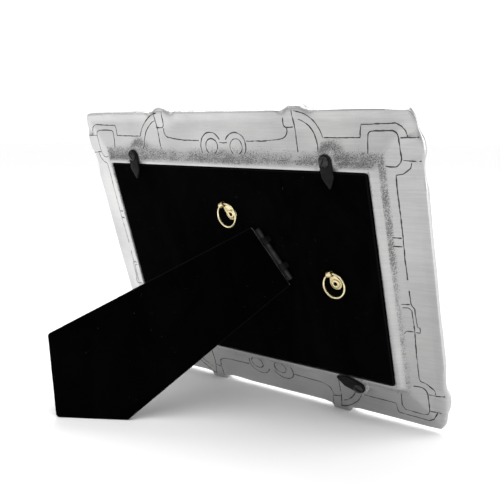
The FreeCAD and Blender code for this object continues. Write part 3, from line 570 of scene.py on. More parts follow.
def make_casting_tree():
    """Hand-cast metal: a slow wave over the faces and sand grit in the rough bands."""
    tree, take, give = geometry_tree("hand_cast_surface", {
        "Wave Depth": (VALUE, 0.0003), "Wave Scale": (VALUE, 30.0),
        "Grit Depth": (VALUE, 0.0002), "Grit Scale": (VALUE, 700.0),
        "Material": ("NodeSocketMaterial", None)})
    place = put(tree, "GeometryNodeInputPosition").outputs[0]
    normal = put(tree, "GeometryNodeInputNormal").outputs[0]
    free = put(tree, "GeometryNodeInputNamedAttribute", {0: "free_to_wander"},
               data_type="FLOAT").outputs[0]
    band = put(tree, "GeometryNodeInputNamedAttribute", {0: "sand_band"},
               data_type="FLOAT").outputs[0]
    wave = spread(tree, clouds(tree, place, take["Wave Scale"], 2.0, 0.45), 0.3, 0.7)
    grit = spread(tree, clouds(tree, place, take["Grit Scale"], 3.0, 0.65), 0.3, 0.7)
    waved = reckon(tree, "MULTIPLY", reckon(tree, "MULTIPLY", wave, take["Wave Depth"]), free)
    gritty = reckon(tree, "MULTIPLY", reckon(tree, "MULTIPLY", grit, take["Grit Depth"]), band)
    sunk = reckon(tree, "MULTIPLY", reckon(tree, "ADD", waved, gritty), -1.0)
    shift = put(tree, "ShaderNodeVectorMath", {0: normal, "Scale": sunk},
                operation="SCALE").outputs[0]
    moved = put(tree, "GeometryNodeSetPosition", {"Geometry": take["Geometry"], "Offset": shift})
    return end_tree(tree, moved.outputs[0], take["Material"], give)


def make_engraving_tree():
    """An engraver's line: a wandering round cut of uneven width along each path."""
    tree, take, give = geometry_tree("engraved_line", {
        "Half Width": (VALUE, 0.00028), "Unevenness": (VALUE, 0.5), "Wander": (VALUE, 0.0002),
        "Step": (VALUE, 0.0009), "Sides": ("NodeSocketInt", 8),
        "Material": ("NodeSocketMaterial", None)})
    curve = put(tree, "GeometryNodeMeshToCurve", {"Mesh": take["Geometry"]}).outputs[0]
    even = put(tree, "GeometryNodeResampleCurve", {"Curve": curve, "Length": take["Step"]},
               mode="LENGTH").outputs[0]
    place = put(tree, "GeometryNodeInputPosition").outputs[0]
    shaky = put(tree, "ShaderNodeTexNoise", {"Vector": place, "Scale": 260.0, "Detail": 2.0})
    middle = put(tree, "ShaderNodeVectorMath", {0: shaky.outputs["Color"], 1: (0.5, 0.5, 0.5)},
                 operation="SUBTRACT").outputs[0]
    shift = put(tree, "ShaderNodeVectorMath", {0: middle, "Scale": take["Wander"]},
                operation="SCALE").outputs[0]
    moved = put(tree, "GeometryNodeSetPosition", {"Geometry": even, "Offset": shift}).outputs[0]
    press = spread(tree, clouds(tree, place, 420.0, 2.0), 0.32, 0.68, -1.0, 1.0)
    width = reckon(tree, "MULTIPLY_ADD", press, take["Unevenness"], 1.0)
    ring = put(tree, "GeometryNodeCurvePrimitiveCircle",
               {"Resolution": take["Sides"], "Radius": take["Half Width"]}).outputs[0]
    tube = put(tree, "GeometryNodeCurveToMesh",
               {"Curve": moved, "Profile Curve": ring, "Scale": width, "Fill Caps": True})
    return end_tree(tree, tube.outputs[0], take["Material"], give)


def make_setting_tree():
    """Sets one fixing at every point, turned as the point says."""
    tree, take, give = geometry_tree("fixings_at_points", {
        "Fixing": ("NodeSocketObject", None), "Material": ("NodeSocketMaterial", None)})
    turn = put(tree, "GeometryNodeInputNamedAttribute", {0: "turn"}, data_type="FLOAT_VECTOR")
    fixing = put(tree, "GeometryNodeObjectInfo", {"Object": take["Fixing"]}).outputs["Geometry"]
    set_out = put(tree, "GeometryNodeInstanceOnPoints",
                  {"Points": take["Geometry"], "Instance": fixing,
                   "Rotation": turn.outputs[0]}).outputs[0]
    return end_tree(tree, set_out, take["Material"], give)


def make_lint_tree():
    """Loose fibres strewn over cloth: fine curved threads at random angles."""
    tree, take, give = geometry_tree("strewn_lint", {
        "Thread": ("NodeSocketObject", None), "Density": (VALUE, 4000.0),
        "Smallest": (VALUE, 0.4), "Largest": (VALUE, 1.0), "Lean": (VALUE, 1.4),
        "Seed": ("NodeSocketInt", 3), "Material": ("NodeSocketMaterial", None)})
    chosen = put(tree, "GeometryNodeInputNamedAttribute", {0: "takes_lint"}, data_type="FLOAT")
    strewn = put(tree, "GeometryNodeDistributePointsOnFaces",
                 {"Mesh": take["Geometry"], "Density": reckon(
                     tree, "MULTIPLY", take["Density"], chosen.outputs[0]),
                  "Seed": take["Seed"]})
    spin = put(tree, "FunctionNodeRandomValue",
               {0: (0.0, 0.0, -math.pi), 1: (0.0, 0.0, math.pi), "Seed": take["Seed"]},
               data_type="FLOAT_VECTOR").outputs[0]
    tip = put(tree, "ShaderNodeCombineXYZ", {"X": take["Lean"]}).outputs[0]
    spun = put(tree, "FunctionNodeRotateRotation",
               {0: strewn.outputs["Rotation"], 1: spin}, rotation_space="LOCAL").outputs[0]
    leant = put(tree, "FunctionNodeRotateRotation", {0: spun, 1: tip},
                rotation_space="LOCAL").outputs[0]
    size = put(tree, "FunctionNodeRandomValue",
               {2: take["Smallest"], 3: take["Largest"], "Seed": take["Seed"]},
               data_type="FLOAT").outputs[1]
    thread = put(tree, "GeometryNodeObjectInfo", {"Object": take["Thread"]}).outputs["Geometry"]
    threads = put(tree, "GeometryNodeInstanceOnPoints",
                  {"Points": strewn.outputs["Points"], "Instance": thread, "Rotation": leant,
                   "Scale": size}).outputs[0]
    return end_tree(tree, threads, take["Material"], give)


HAND_CAST = make_casting_tree()
ENGRAVED_LINE = make_engraving_tree()
FIXINGS = make_setting_tree()
STREWN_LINT = make_lint_tree()


# ---- casting
GRID = 0.8 * MM
RIM_SIDE, RIM_END = 81.0, 56.0  # half the width and height over the rim, in millimetres
BOSS_X, BOSS_Y, RING_X, FRAME_SIDE = 58.7, 57.6, 41.2, 100.0


def rough_casting():
    """The casting as one fine even mesh, in the board's axes."""
    shape = cad_copy("frame_casting", BACK.inverted())
    mesh = bpy.data.meshes.new("rough_casting")
    shape.to_mesh(mesh)
    shape.free()
    block = show("rough_casting", mesh)
    remesh = block.modifiers.new("even_grid", "REMESH")
    remesh.mode = "VOXEL"
    remesh.voxel_size = GRID
    return plain_result(block, "rough_casting")


def shape_casting(mesh):
    """Rounds the edges, draws the corners in and marks the sandy and the true places."""
    places = points_of(mesh) / MM
    across, up, depth = np.abs(places[:, 0]), np.abs(places[:, 1]), places[:, 2]
    outside = np.maximum(across - RIM_SIDE, up - RIM_END)
    well = (across < 80.0) & (up < 54.6)
    loops = ease(up, 66.0, 76.0) * ease(np.abs(across - RING_X), 11.0, 7.0)
    feet = loops * (places[:, 1] < 0)
    from_boss = np.hypot(across - BOSS_X, up - BOSS_Y)
    boss = ease(from_boss, 8.0, 5.0)
    root = ease(outside, -3.5, -1.0) * ease(outside, 6.5, 3.5) * (depth > -6.5)
    free = np.where(well, 0.0, 1.0) * (1 - feet) * (1 - boss)
    relax(mesh, free, 3, 0.4)
    relax(mesh, root * (1 - boss), 14, 0.5)
    relax(mesh, loops * (places[:, 1] > 0), 30, 0.6)
    relax(mesh, ease(across, 96.5, 99.0) * ease(up, 42.0, 50.0), 30, 0.6)
    pulled = points_of(mesh) / MM
    corner = ease(up, 58.0, 78.0) * ease(across, 80.0, FRAME_SIDE)
    pulled[:, 0] -= np.where(places[:, 0] > 0, 1.2, 0.2 * np.sign(places[:, 0])) * corner
    pulled[:, 1] -= np.sign(pulled[:, 1]) * 0.4 * corner
    move_points(mesh, pulled * MM)
    at_ends = up - RIM_END > across - RIM_SIDE
    over_rim = np.where(at_ends, ease(outside, -2.6, -0.6), ease(outside, 0.2, 1.4))
    beyond = np.where(at_ends, ease(outside, 9.5, 0.5), ease(outside, 4.7, 2.2))
    upper = ease(places[:, 1], -20.0, 40.0)
    patchy = 0.86 + 0.14 * np.sin(places[:, 0] * 0.09 + 1.3)
    sandy = over_rim * beyond * np.where(at_ends, patchy, 1.0) * (0.7 + 0.3 * upper)
    dull_edge = np.where(at_ends, 0.2, 0.75) * ease(outside, -1.4, -2.4)
    sandy = np.maximum(sandy, np.maximum(0.2 * ease(outside, 2.0, 0.5), dull_edge))
    round_boss = ease(from_boss, 12.0, 4.0) * (0.7 + 0.3 * upper)
    sandy = np.maximum(sandy, round_boss) * (depth > -6.6)
    store(mesh, "sand_band", sandy)
    store(mesh, "free_to_wander", free * (1 - 0.7 * (outside < 0)))


def arc(centre, radius, start, end, steps=14):
    angles = np.radians(np.linspace(start, end, steps))
    return [(centre[0] + radius * math.cos(a), centre[1] + radius * math.sin(a))
            for a in angles]


# The harness drawn on the back, one quarter of it: for each line how far it strays to the
# left, at the rim and with each millimetre away from it, and its width and height points.
RING_CENTRE, LINK_CENTRE = (39.9, 61.0), (7.6, 61.6)
BOTH_HALVES = {
    "ring_outside": (0.8, 0.0, arc(RING_CENTRE, 16.8, 82, 17.5)),
    "ring_inside": (0.8, 0.0, arc(RING_CENTRE, 13.5, 72, -5)),
    "link_inside": (0.6, 0.0, arc((7.6, 61.4), 3.7, -62, 242, 20)),
}
UPPER_HALF = {
    "buckle_outside": (0.3, 0.03, [
        (56.2, 66.0), (65, 66.0), (74.1, 66.1), (74.2, 68.8), (74.8, 71.4), (83.5, 71.6),
        (90.3, 71.9), (92.8, 70.6), (94.3, 68.7), (95.0, 66.3)]),
    "buckle_inside": (0.2, 0.0, [
        (77.2, 59.6), (77.1, 63.4), (77.4, 67.8), (78.6, 68.8), (84, 68.9), (89.0, 68.8),
        (90.5, 67.9), (91.0, 66.0), (91.2, 60), (91.3, 56.8), (90.8, 55.4), (89.0, 53.9),
        (86.3, 54.1), (84.6, 54.6)]),
    "strap_outer": (0.0, 0.0, [(91.6, 66.0), (95, 65.9), (99.0, 65.8)]),
    "strap_inner": (0.0, 0.0, [(91.8, 56.4), (95, 56.1), (98.9, 55.8)]),
    "side_strap": (0.0, 0.0, [
        (94.9, 55.4), (94.3, 53.1), (91.2, 50.7), (88.3, 50.4), (88.1, 45.8), (88.2, 36),
        (88.2, 24), (88.0, 12), (88.0, 2)]),
    "keeper_top": (0.0, 0.0, [(83.6, 22.3), (87.6, 22.0)]),
    "keeper_bottom": (0.0, 0.0, [(83.6, 18.3), (87.6, 18.0)]),
    "ring_bar": (0.0, 0.13, [(42.3, 59.6), (42.3, 66), (42.4, 72), (42.6, 78.0)]),
    "loop_side": (2.2, 0.0, [
        (37.0, 78.0), (36.9, 74.5), (36.9, 71.5), (37.8, 70.3), (40, 70.2), (42.2, 70.4)]),
    "bit_bar": (1.5, 0.0, [
        (38.0, 69.9), (38.1, 68.2), (37.2, 66.4), (35.4, 65.4), (32, 64.9), (25, 64.2),
        (14.8, 64.1)]),
    "link_outside": (1.1, 0.0, arc(LINK_CENTRE, 6.45, -34, 152, 18)),
    "link_bar": (0.9, 0.0, [(2.4, 63.3), (0.0, 63.1)]),
}
LOWER_HALF = {
    "buckle_outside": (-0.2, 0.0, [
        (56.4, 66.6), (63, 66.7), (73.9, 66.9), (73.6, 70.3), (73.9, 73.1), (79.2, 73.2),
        (85.2, 73.4), (89.9, 73.5), (92.4, 71.6), (94.1, 68.8), (94.6, 67.5)]),
    "buckle_inside": (0.0, 0.0, [
        (78.3, 59.3), (77.7, 63.1), (77.2, 67.2), (78.3, 69.8), (82.4, 69.9), (87.9, 70.2),
        (90.0, 69.4), (91.3, 67.2), (91.4, 62), (91.3, 58.0), (90.5, 55.4), (89.0, 53.8),
        (85.2, 53.4)]),
    "strap_outer": (0.0, 0.0, [(91.8, 67.0), (95, 67.3), (98.7, 67.8)]),
    "strap_inner": (0.0, 0.0, [(91.8, 57.5), (95, 57.8), (99.2, 57.4)]),
    "side_strap": (0.0, 0.0, [
        (84.4, 11.8), (87.0, 11.8), (88.2, 13.3), (88.4, 18), (88.4, 24.1), (88.2, 36),
        (88.1, 49.3), (88.8, 50.7), (90.7, 51.3), (92.8, 53.5), (94.4, 55.2), (94.8, 57.1)]),
    "strap_edge": (0.0, 0.0, [
        (88.1, 3.1), (88.2, 10.2), (89.5, 12.5), (89.7, 18.6), (89.9, 21.9), (91.0, 22.1),
        (90.8, 24.8), (88.9, 24.4)]),
    "tongue_top": (0.0, 0.0, [(84.0, 10.1), (87.6, 10.1)]),
    "tongue_foot": (0.0, 0.0, [(83.8, 25.2), (85.0, 23.7), (88.0, 24.1)]),
    "ring_bar": (-1.5, 0.12, [(42.2, 59.6), (42.2, 66), (42.3, 72), (42.4, 78.0)]),
    "loop_side": (0.3, 0.0, [(37.2, 78.0), (37.2, 75), (37.3, 72.4), (39.5, 71.9), (42.0, 71.6)]),
    "bit_bar": (0.3, 0.0, [
        (38.0, 71.6), (37.4, 69.6), (37.0, 67.2), (34.4, 65.4), (29.7, 64.7), (23, 64.3),
        (14.6, 64.1)]),
    "link_outside": (-0.6, 0.0, arc((7.9, 62.3), 6.5, -26, 160, 18)),
}


def lines_on(surface, name, drawn, up):
    """One drawn line on both sides of a half, laid on the casting's back."""
    stray, slope, path = drawn
    points, edges = [], []
    for side in (1, -1):
        laid = []
        for x, y in path:
            left = stray + slope * (y - 59)
            above = Vector(((side * x - left) * MM, up * y * MM, 0.03))
            hit = surface.ray_cast(above, Vector((0, 0, -1)))[0]
            if hit is not None:
                laid.append(hit)
        start = len(points)
        points += laid
        edges += [(start + i, start + i + 1) for i in range(len(laid) - 1)]
    mesh = bpy.data.meshes.new(name)
    mesh.from_pydata(points, edges, [])
    return show(name, mesh)


def engrave(mesh):
    """Cuts every drawn line into the casting."""
    shape = bmesh.new()
    shape.from_mesh(mesh)
    surface = BVHTree.FromBMesh(shape)
    shape.free()
    drawings = [(name, drawn, up) for up, half in ((1, UPPER_HALF), (-1, LOWER_HALF))
                for name, drawn in {**BOTH_HALVES, **half}.items()]
    for name, drawn, up in drawings:
        drawing = lines_on(surface, name, drawn, up)
        tool = show("graver", run_tree(drawing, ENGRAVED_LINE, "graver", half_width=0.27 * MM,
                                       unevenness=0.4, wander=0.55 * MM, step=0.8 * MM,
                                       sides=8, material=GROOVE_METAL))
        mesh = cut_out(show("casting_block", mesh), tool, "casting", keep_material=True)
    return mesh


def make_casting():
    mesh = rough_casting()
    shape_casting(mesh)
    mesh = run_tree(show("rough_casting", mesh), HAND_CAST, "casting", wave_depth=0.35 * MM,
                    wave_scale=32.0, grit_depth=0.16 * MM, grit_scale=700.0, material=ALUMINIUM)
    mesh = engrave(mesh)
    smooth_faces(mesh, 48)
    mesh.transform(BACK)
    fit("casting", mesh, "frame", "cast_aluminium", "frame_casting")


# ---- velvet covers
def drawn_in(outline, inset):
    """An outline with every side moved inwards by the same amount."""
    count = len(outline)
    moved = []
    for i in range(count):
        before = (outline[i] - outline[i - 1]).normalized()
        after = (outline[(i + 1) % count] - outline[i]).normalized()
        inward = Vector((-before.y - after.y, before.x + after.x)).normalized()
        lean = max(0.4, inward.dot(Vector((-after.y, after.x))))
        moved.append(outline[i] + inward * (inset / lean))
    return moved


def wrap_outline(outline, rings):
    """A closed shell whose rings follow an outline: inset, level and share of the fold."""
    shape = bmesh.new()
    folded = shape.verts.layers.float.new("fold")
    loops = []
    for inset, level, share in rings:
        loops.append([shape.verts.new((p.x, p.y, level)) for p in drawn_in(outline, inset)])
        for vert in loops[-1]:
            vert[folded] = share
    count = len(outline)
    for one, two in zip(loops, loops[1:]):
        for i in range(count):
            j = (i + 1) % count
            shape.faces.new((one[i], one[j], two[j], two[i]))
    shape.faces.new(loops[0])
    shape.faces.new(loops[-1])
    bmesh.ops.recalc_face_normals(shape, faces=shape.faces)
    return shape


def rounded_fold(level, fold, side, steps=4):
    """Rings of a rounded edge; side is 1 where the fold turns up to the level, -1 down."""
    rings = []
    for i in range(steps + 1):
        angle = math.pi / 2 * i / steps
        rings.append((fold * (1 - math.sin(angle)), level - side * fold * (1 - math.cos(angle)),
                      min(1.0, float(i))))
    return rings


def cut_in_squares(shape, spacing):
    """Divides the faces on an even grid, so that the cloth can rise and sink."""
    for k in (0, 1):
        low = min(vert.co[k] for vert in shape.verts)
        high = max(vert.co[k] for vert in shape.verts)
        steps = int((high - low) / spacing)
        across = Vector((1, 0, 0)) if k == 0 else Vector((0, 1, 0))
        for i in range(1, steps):
            at = across * (low + (high - low) * i / steps)
            everything = shape.verts[:] + shape.edges[:] + shape.faces[:]
            bmesh.ops.bisect_plane(shape, geom=everything, plane_co=at, plane_no=across)


def unsettle(mesh, depth, scale, seed):
    """Lets drawn cloth rise and sink a little along its own normals."""
    places = points_of(mesh)
    for vert, place in zip(mesh.vertices, places):
        swell = noise.noise(Vector(place * scale) + Vector((seed, 0, 0)))
        place += np.array(vert.normal) * swell * depth
    move_points(mesh, places)


def round_corners(corners, radius, steps=5):
    """An outline through given corners, each turned on the same radius."""
    outline = []
    for i, corner in enumerate(corners):
        back = (corners[i - 1] - corner).normalized()
        on = (corners[(i + 1) % len(corners)] - corner).normalized()
        half = back.angle(on) / 2
        centre = corner + (back + on).normalized() * (radius / math.sin(half))
        first = corner + back * (radius / math.tan(half)) - centre
        last = corner + on * (radius / math.tan(half)) - centre
        for step in range(steps + 1):
            outline.append(centre + first.lerp(last, step / steps).normalized() * radius)
    return outline


def crossing(a, b, c, d):
    """Where the line through a and b meets the line through c and d."""
    along, other = b - a, d - c
    return a + along * ((c - a).cross(other) / along.cross(other))


def make_thread(length, thickness, bend):
    """A fine three-sided hair, bent over and drawn to a point."""
    shape = bmesh.new()
    rings = []
    for share in (0.0, 0.35, 0.7):
        centre = Vector((bend * share * share * length, 0, share * length))
        width = thickness * (1 - 0.6 * share)
        rings.append([shape.verts.new(centre + width * Vector((
            math.cos(a), math.sin(a), 0))) for a in (0.0, 2.0944, 4.1888)])
    tip = shape.verts.new((bend * length, 0, length))
    for one, two in zip(rings, rings[1:]):
        for i in range(3):
            shape.faces.new((one[i], one[(i + 1) % 3], two[(i + 1) % 3], two[i]))
    for i in range(3):
        shape.faces.new((rings[-1][i], rings[-1][(i + 1) % 3], tip))
    shape.faces.new(rings[0][::-1])
    return shape


def strew(name, cover, chosen, thread, density, spread_sizes, lean, seed, material, body):
    """Threads strewn over the chosen points of a cover, as a piece of their own."""
    ground = cover.copy()
    store(ground, "takes_lint", chosen)
    pattern = show("thread_pattern", to_mesh(thread, "thread_pattern", material))
    mesh = run_tree(show(name, ground), STREWN_LINT, name, thread=pattern, density=density,
                    smallest=spread_sizes[0], largest=spread_sizes[1], lean=lean, seed=seed,
                    material=material)
    bpy.data.objects.remove(pattern)
    smooth_faces(mesh)
    fit(name, mesh, body, "velvet")


def dress_cover(name, mesh, axes, body, node, material, seed):
    """Finishes a cover: its place, the pile along its folds but not on the table, its lint."""
    depth = points_of(mesh)[:, 2]
    outer = depth > depth.max() - 1.2 * MM
    folds = np.empty(len(mesh.vertices), np.float32)
    mesh.attributes["fold"].data.foreach_get("value", folds)
    flats = (folds < 0.01) * outer
    mesh.transform(axes)
    off_the_table = points_of(mesh)[:, 2] > 0.8 * MM
    folds = folds * outer * off_the_table
    strew(name + "_pile", mesh, folds, make_thread(0.42 * MM, 0.03 * MM, 0.3), 5.0e6,
          (0.5, 1.0), 0.5, seed, material, body)
    strew(name + "_lint", mesh, flats, make_thread(1.6 * MM, 0.022 * MM, 0.45), 5.5e3,
          (0.35, 1.0), 1.42, seed + 1, LINT, body)
    fit(name, mesh, body, "velvet", node)


def make_board_cover():
    """Velvet drawn over the back board and down its sides."""
    cover, thick, side, end = 0.4 * MM, 2.8 * MM, 77.5 * MM, 52.25 * MM
    corners = [Vector((x * side, y * end)) for x, y in ((1, 1), (-1, 1), (-1, -1), (1, -1))]
    outline = round_corners(corners, 0.9 * MM)
    rings = rounded_fold(0.0, 0.7 * MM, 1)
    rings += [(0.0, -1.0 * MM, 0.0), (0.0, -thick, 0.0), (cover, -thick, 0.0),
              (cover, -cover, 0.0)]
    shape = wrap_outline(outline, rings)
    cut_in_squares(shape, 2.6 * MM)
    mesh = to_mesh(shape, "board_velvet", BOARD_VELVET, 50)
    unsettle(mesh, 0.07 * MM, 95.0, 4.0)
    dress_cover("board_velvet", mesh, BACK, "frame", "backing_velvet", BOARD_VELVET, 11)


def leg_axes():
    """The leg's axes: X along the pin, Y across it and Z out of the leg's outer face."""
    shape = cad_copy("easel_leg_velvet")
    join_flats(shape)
    away = [face for face in shape.faces if face.normal.dot(BACKWARD) > 0]
    outer = max(away, key=lambda face: face.calc_area())
    out, along = outer.normal.copy(), -axis("leg_hinge")
    shape.free()
    across = out.cross(along).normalized()
    turned = Matrix((along, across, out)).transposed().to_4x4()
    return Matrix.Translation(pivot("leg_hinge")) @ turned


def leg_outline(shape):
    """The leg's widest outline: its outer face's sides carried on, moved out and rounded."""
    join_flats(shape)
    outer = [face for face in shape.faces if face.normal.z > 0.9]
    face = max(outer, key=lambda face: face.calc_area())
    around = [vert.co.xy.copy() for vert in face.verts]
    turns = sum(a.x * b.y - b.x * a.y for a, b in zip(around, around[1:] + around[:1]))
    if turns < 0:
        around.reverse()
    sides = [(a, b) for a, b in zip(around, around[1:] + around[:1]) if (b - a).length > 5 * MM]
    corners = [crossing(*before, *after) for before, after in zip(sides, sides[1:] + sides[:1])]
    edge = max(vert.co.x for vert in shape.verts) - max(point.x for point in around)
    end = min(point.y for point in around)
    outline = drawn_in(round_corners(corners, 1.5 * MM), -edge)
    return [Vector((point.x, max(point.y, end))) for point in outline]


def make_leg_cover():
    """Velvet wrapped round the easel leg, lapped along the middle of its inner face."""
    axes = leg_axes()
    shape = cad_copy("easel_leg_velvet", axes.inverted())
    low = min(vert.co.z for vert in shape.verts)
    high = max(vert.co.z for vert in shape.verts)
    outline = leg_outline(shape)
    shape.free()
    rings = rounded_fold(high, 0.45 * MM, 1) + rounded_fold(low, 0.45 * MM, -1)[::-1]
    shape = wrap_outline(outline, rings)
    cut_in_squares(shape, 2.2 * MM)
    mesh = to_mesh(shape, "leg_velvet", LEG_VELVET, 50)
    unsettle(mesh, 0.06 * MM, 110.0, 9.0)
    places = points_of(mesh)
    inside = places[:, 2] < low + 0.1 * MM
    lap = ease(places[:, 0], 2.5 * MM, 0.5 * MM) * inside
    places[:, 2] -= lap * 0.12 * MM
    move_points(mesh, places)
    dress_cover("leg_velvet", mesh, axes, "leg", "easel_leg_velvet", LEG_VELVET, 23)


# ---- hardware
def refined(node, name, body, material, slot, width, over, smooth):
    """A CAD piece with its edges broken, as pressing and tumbling leave them."""
    shape = cad_copy(node)
    join_flats(shape)
    soften_edges(shape, width, 3, over)
    fit(name, to_mesh(shape, name, material, smooth), body, slot, node)


def lathed(profile, sides=32):
    """A closed turned shape; the profile gives radius and height, from axis to axis."""
    shape = bmesh.new()
    rings = []
    for radius, height in profile:
        if radius < 1e-9:
            rings.append([shape.verts.new((0, 0, height))])
        else:
            rings.append([shape.verts.new((radius * math.cos(a), radius * math.sin(a), height))
                          for a in np.linspace(0, 2 * math.pi, sides, endpoint=False)])
    for one, two in zip(rings, rings[1:]):
        for i in range(sides):
            j = (i + 1) % sides
            corners = [one[i % len(one)], one[j % len(one)], two[j % len(two)],
                       two[i % len(two)]]
            shape.faces.new(list(dict.fromkeys(corners)))
    bmesh.ops.recalc_face_normals(shape, faces=shape.faces)
    return shape


def make_screw_pattern(head, height, shank, length):
    """A slotted round-head screw with its seat at the origin."""
    dome = [(head * math.cos(a), height * (0.28 + 0.72 * math.sin(a)))
            for a in np.linspace(0.0, math.pi / 2, 9)]
    profile = [(0, -length), (shank * 0.8, -length), (shank, -length + 0.3 * MM), (shank, 0),
               (head * 0.97, 0), *dome[:-1], (0, height)]
    turned = to_mesh(lathed(profile, 40), "screw_pattern", SCREW_BLACK, 40)
    shape = bmesh.new()
    bmesh.ops.create_cube(shape, size=1.0)
    shape.transform(Matrix.Translation((0, 0, height)) @ Matrix.Diagonal(
        (head * 2.4, 0.62 * MM, 1.25 * MM, 1)))
    slot = show("slot", to_mesh(shape, "slot", SCREW_BLACK))
    slotted = bmesh.new()
    slotted.from_mesh(cut_out(show("screw", turned), slot, "screw_pattern"))
    join_flats(slotted)
    soften_edges(slotted, 0.07 * MM, 2, 50)
    return to_mesh(slotted, "screw_pattern", SCREW_BLACK, 40)


def make_latch_screws():
    """Four screws, one through each turn button into its boss."""
    inverse = BACK.inverted()
    top = max((inverse @ vert.co).z for vert in NODES["turn_button_screws"].data.vertices)
    height = 1.3 * MM
    slots = {"top_left": 112, "top_right": 62, "bottom_left": 20, "bottom_right": -20}
    points, turns = [], []
    for name in LATCHES:
        seat = inverse @ pivot(f"{name}_button_pivot")
        points.append(BACK @ Vector((seat.x, seat.y, top - height)))
        slot = Matrix.Rotation(math.radians(slots[name]), 3, "Z")
        turns.append((BACK.to_3x3() @ slot).to_euler())
    ground = bpy.data.meshes.new("screw_places")
    ground.from_pydata(points, [], [])
    layer = ground.attributes.new("turn", "FLOAT_VECTOR", "POINT")
    layer.data.foreach_set("vector", np.array(turns, np.float32).ravel())
    pattern = show("screw_pattern", make_screw_pattern(2.5 * MM, height, 1.0 * MM, 5.0 * MM))
    mesh = run_tree(show("latch_screws", ground), FIXINGS, "latch_screws", fixing=pattern,
                    material=SCREW_BLACK)
    bpy.data.objects.remove(pattern)
    fit("latch_screws", mesh, "frame", "black_screw", "turn_button_screws")


def make_ring(name, joint, body, node):
    """A drawn wire ring whose ends butt together beside its loop."""
    shape = cad_copy(node)
    points = np.array([vert.co for vert in shape.verts])
    shape.free()
    flat = np.linalg.svd(points - points.mean(axis=0), full_matrices=False)[2]
    across, beside, through = (Vector(row) for row in flat)
    spans = points @ flat.T
    centre = Vector((spans.max(axis=0) + spans.min(axis=0)) / 2 @ flat)
    size = (spans.max(axis=0) - spans.min(axis=0)) / 2
    wire = size[2]
    radius = size[0] - wire
    shape = bmesh.new()
    around, sides = 96, 14
    loops = []
    to_loop = pivot(joint) - centre
    start = math.atan2(to_loop.dot(beside), to_loop.dot(across)) + 0.5
    for i in range(around):
        angle = start + 2 * math.pi * i / around
        outward = across * math.cos(angle) + beside * math.sin(angle)
        from_joint = min(i, around - i)
        thin = 0.72 if from_joint == 0 else 0.97 if from_joint == 1 else 0.995
        loops.append([shape.verts.new(centre + outward * (
            radius + wire * thin * math.cos(a)) + through * (wire * thin * math.sin(a)))
            for a in np.linspace(0, 2 * math.pi, sides, endpoint=False)])
    for i in range(around):
        one, two = loops[i], loops[(i + 1) % around]
        for k in range(sides):
            m = (k + 1) % sides
            shape.faces.new((one[k], one[m], two[m], two[k]))
    bmesh.ops.recalc_face_normals(shape, faces=shape.faces)
    fit(name, to_mesh(shape, name, RING_BRASS, 60), body, "brass", node)


def make_hardware():
    make_latch_screws()
    for name in LATCHES:
        refined(f"turn_button_{name}", f"{name}_latch", f"{name}_button", LATCH_BLACK,
                "black_latch", 0.3 * MM, 40, 40)
    for side in ("top", "side"):
        refined(f"hanger_plate_{side}", f"{side}_hanger_strap", "frame", PLATE_BRASS, "brass",
                0.08 * MM, 50, 40)
        refined(f"hanger_eyelet_{side}", f"{side}_hanger_eyelet", "frame", PLATE_BRASS,
                "brass", 0.06 * MM, 45, 45)
        make_ring(f"{side}_hanger_ring", f"{side}_ring_swing", f"{side}_ring",
                  f"hanger_ring_{side}")
    leaf, small = 0.1 * MM, 0.12 * MM
    # The board leaf gets the darker copy of the steel, as painted shade; the leg leaf gets the
    # plain steel.
    hinge = (("hinge_board_leaf", "hinge_leaf_on_board", "frame", SHADE_DARKENED_HINGE_STEEL, leaf, 40),
             ("hinge_leg_leaf", "hinge_leaf_on_leg", "leg", HINGE_STEEL, leaf, 40),
             ("hinge_pin", "hinge_pin_wire", "frame", HINGE_STEEL, small, 32),
             ("hinge_board_rivets", "board_leaf_rivets", "frame", HINGE_STEEL, small, 32),
             ("hinge_leg_rivets", "leg_leaf_rivets", "leg", HINGE_STEEL, small, 32))
    for node, name, body, material, width, smooth in hinge:
        refined(node, name, body, material, "hinge_steel", width, 45, smooth)


def dress_flat_stack():
    """Finishes for the flat pieces that keep their CAD shape."""
    finishes = {"glass_pane": GLASS, "photo_print": PRINT, "backing_lining": LINING_PAPER,
                "backing_board": GREY_BOARD, "easel_leg_core": GREY_BOARD}
    for node, material in finishes.items():
        for place in NODES[node].material_slots:
            place.material = material


make_casting()
make_board_cover()
make_leg_cover()
make_hardware()
dress_flat_stack()


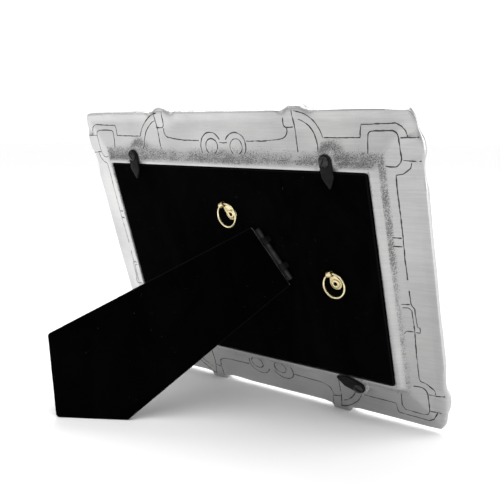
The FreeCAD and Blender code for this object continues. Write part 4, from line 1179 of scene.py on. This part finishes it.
# ---- studio
def make_studio():
    """A wide pale floor and air that is a little brighter to look at than to be lit by."""
    half = 6.0
    shape = bmesh.new()
    rows = [[shape.verts.new((half * (i / 8 - 0.5) * 2, half * (j / 8 - 0.5) * 2, 0))
             for i in range(9)] for j in range(9)]
    for low, high in zip(rows, rows[1:]):
        for i in range(8):
            shape.faces.new((low[i], low[i + 1], high[i + 1], high[i]))
    floor = show("studio_floor", to_mesh(shape, "studio_floor", make_floor_material()))
    world = bpy.data.worlds.new("studio_air")
    bpy.context.scene.world = world
    world.use_nodes = True
    air = world.node_tree.nodes["Background"]
    air.inputs["Color"].default_value = (1, 1, 1, 1)
    seen = put(world.node_tree, "ShaderNodeLightPath").outputs["Is Camera Ray"]
    strength = reckon(world.node_tree, "MULTIPLY_ADD", seen, 0.44, 0.62)
    world.node_tree.links.new(strength, air.inputs["Strength"])
    bpy.context.scene.view_settings.view_transform = "Standard"


def add_softbox(name, place, size, power):
    """A round light aimed at the middle of the board."""
    lamp = bpy.data.lights.new(name, "AREA")
    lamp.shape, lamp.size, lamp.energy = "DISK", size, power
    box = bpy.data.objects.new(name, lamp)
    box.location = place
    box.rotation_mode = "QUATERNION"
    box.rotation_quaternion = (BOARD_CENTRE - Vector(place)).to_track_quat("-Z", "Y")
    bpy.context.scene.collection.objects.link(box)


def add_camera():
    """Looks at the back from behind, to the right of it and a little above."""
    lens = bpy.data.cameras.new("studio_camera")
    lens.lens, lens.sensor_width = 53.44, 36.0
    lens.clip_start, lens.clip_end = 0.01, 20.0
    camera = bpy.data.objects.new("studio_camera", lens)
    camera.location = BOARD_CENTRE + Vector((-0.229195, 0.28631, 0.06846))
    turn, dip = math.radians(38.13), math.radians(9.29)
    looks = Vector((math.sin(turn) * math.cos(dip), -math.cos(turn) * math.cos(dip),
                    -math.sin(dip)))
    camera.rotation_mode = "QUATERNION"
    camera.rotation_quaternion = looks.to_track_quat("-Z", "Y")
    bpy.context.scene.collection.objects.link(camera)
    bpy.context.scene.camera = camera


def add_wide_light(name, comes_from, strength, spread_of_light):
    """Light of one direction with soft shadows, as a bounce off a ceiling gives."""
    lamp = bpy.data.lights.new(name, "SUN")
    lamp.energy, lamp.angle = strength, math.radians(spread_of_light)
    wide = bpy.data.objects.new(name, lamp)
    wide.rotation_mode = "QUATERNION"
    wide.rotation_quaternion = Vector(comes_from).to_track_quat("Z", "Y")
    bpy.context.scene.collection.objects.link(wide)


make_studio()
add_wide_light("overhead_bounce", (-0.45, 0.10, 1.0), 1.5, 38)
add_softbox("high_softbox", (0.45, -0.55, 1.15), 0.9, 10.0)
add_softbox("side_softbox", (-1.0, -0.9, 0.35), 0.8, 6.0)
add_softbox("left_softbox", (0.62, 0.5, 0.62), 0.5, 0.8)
add_camera()
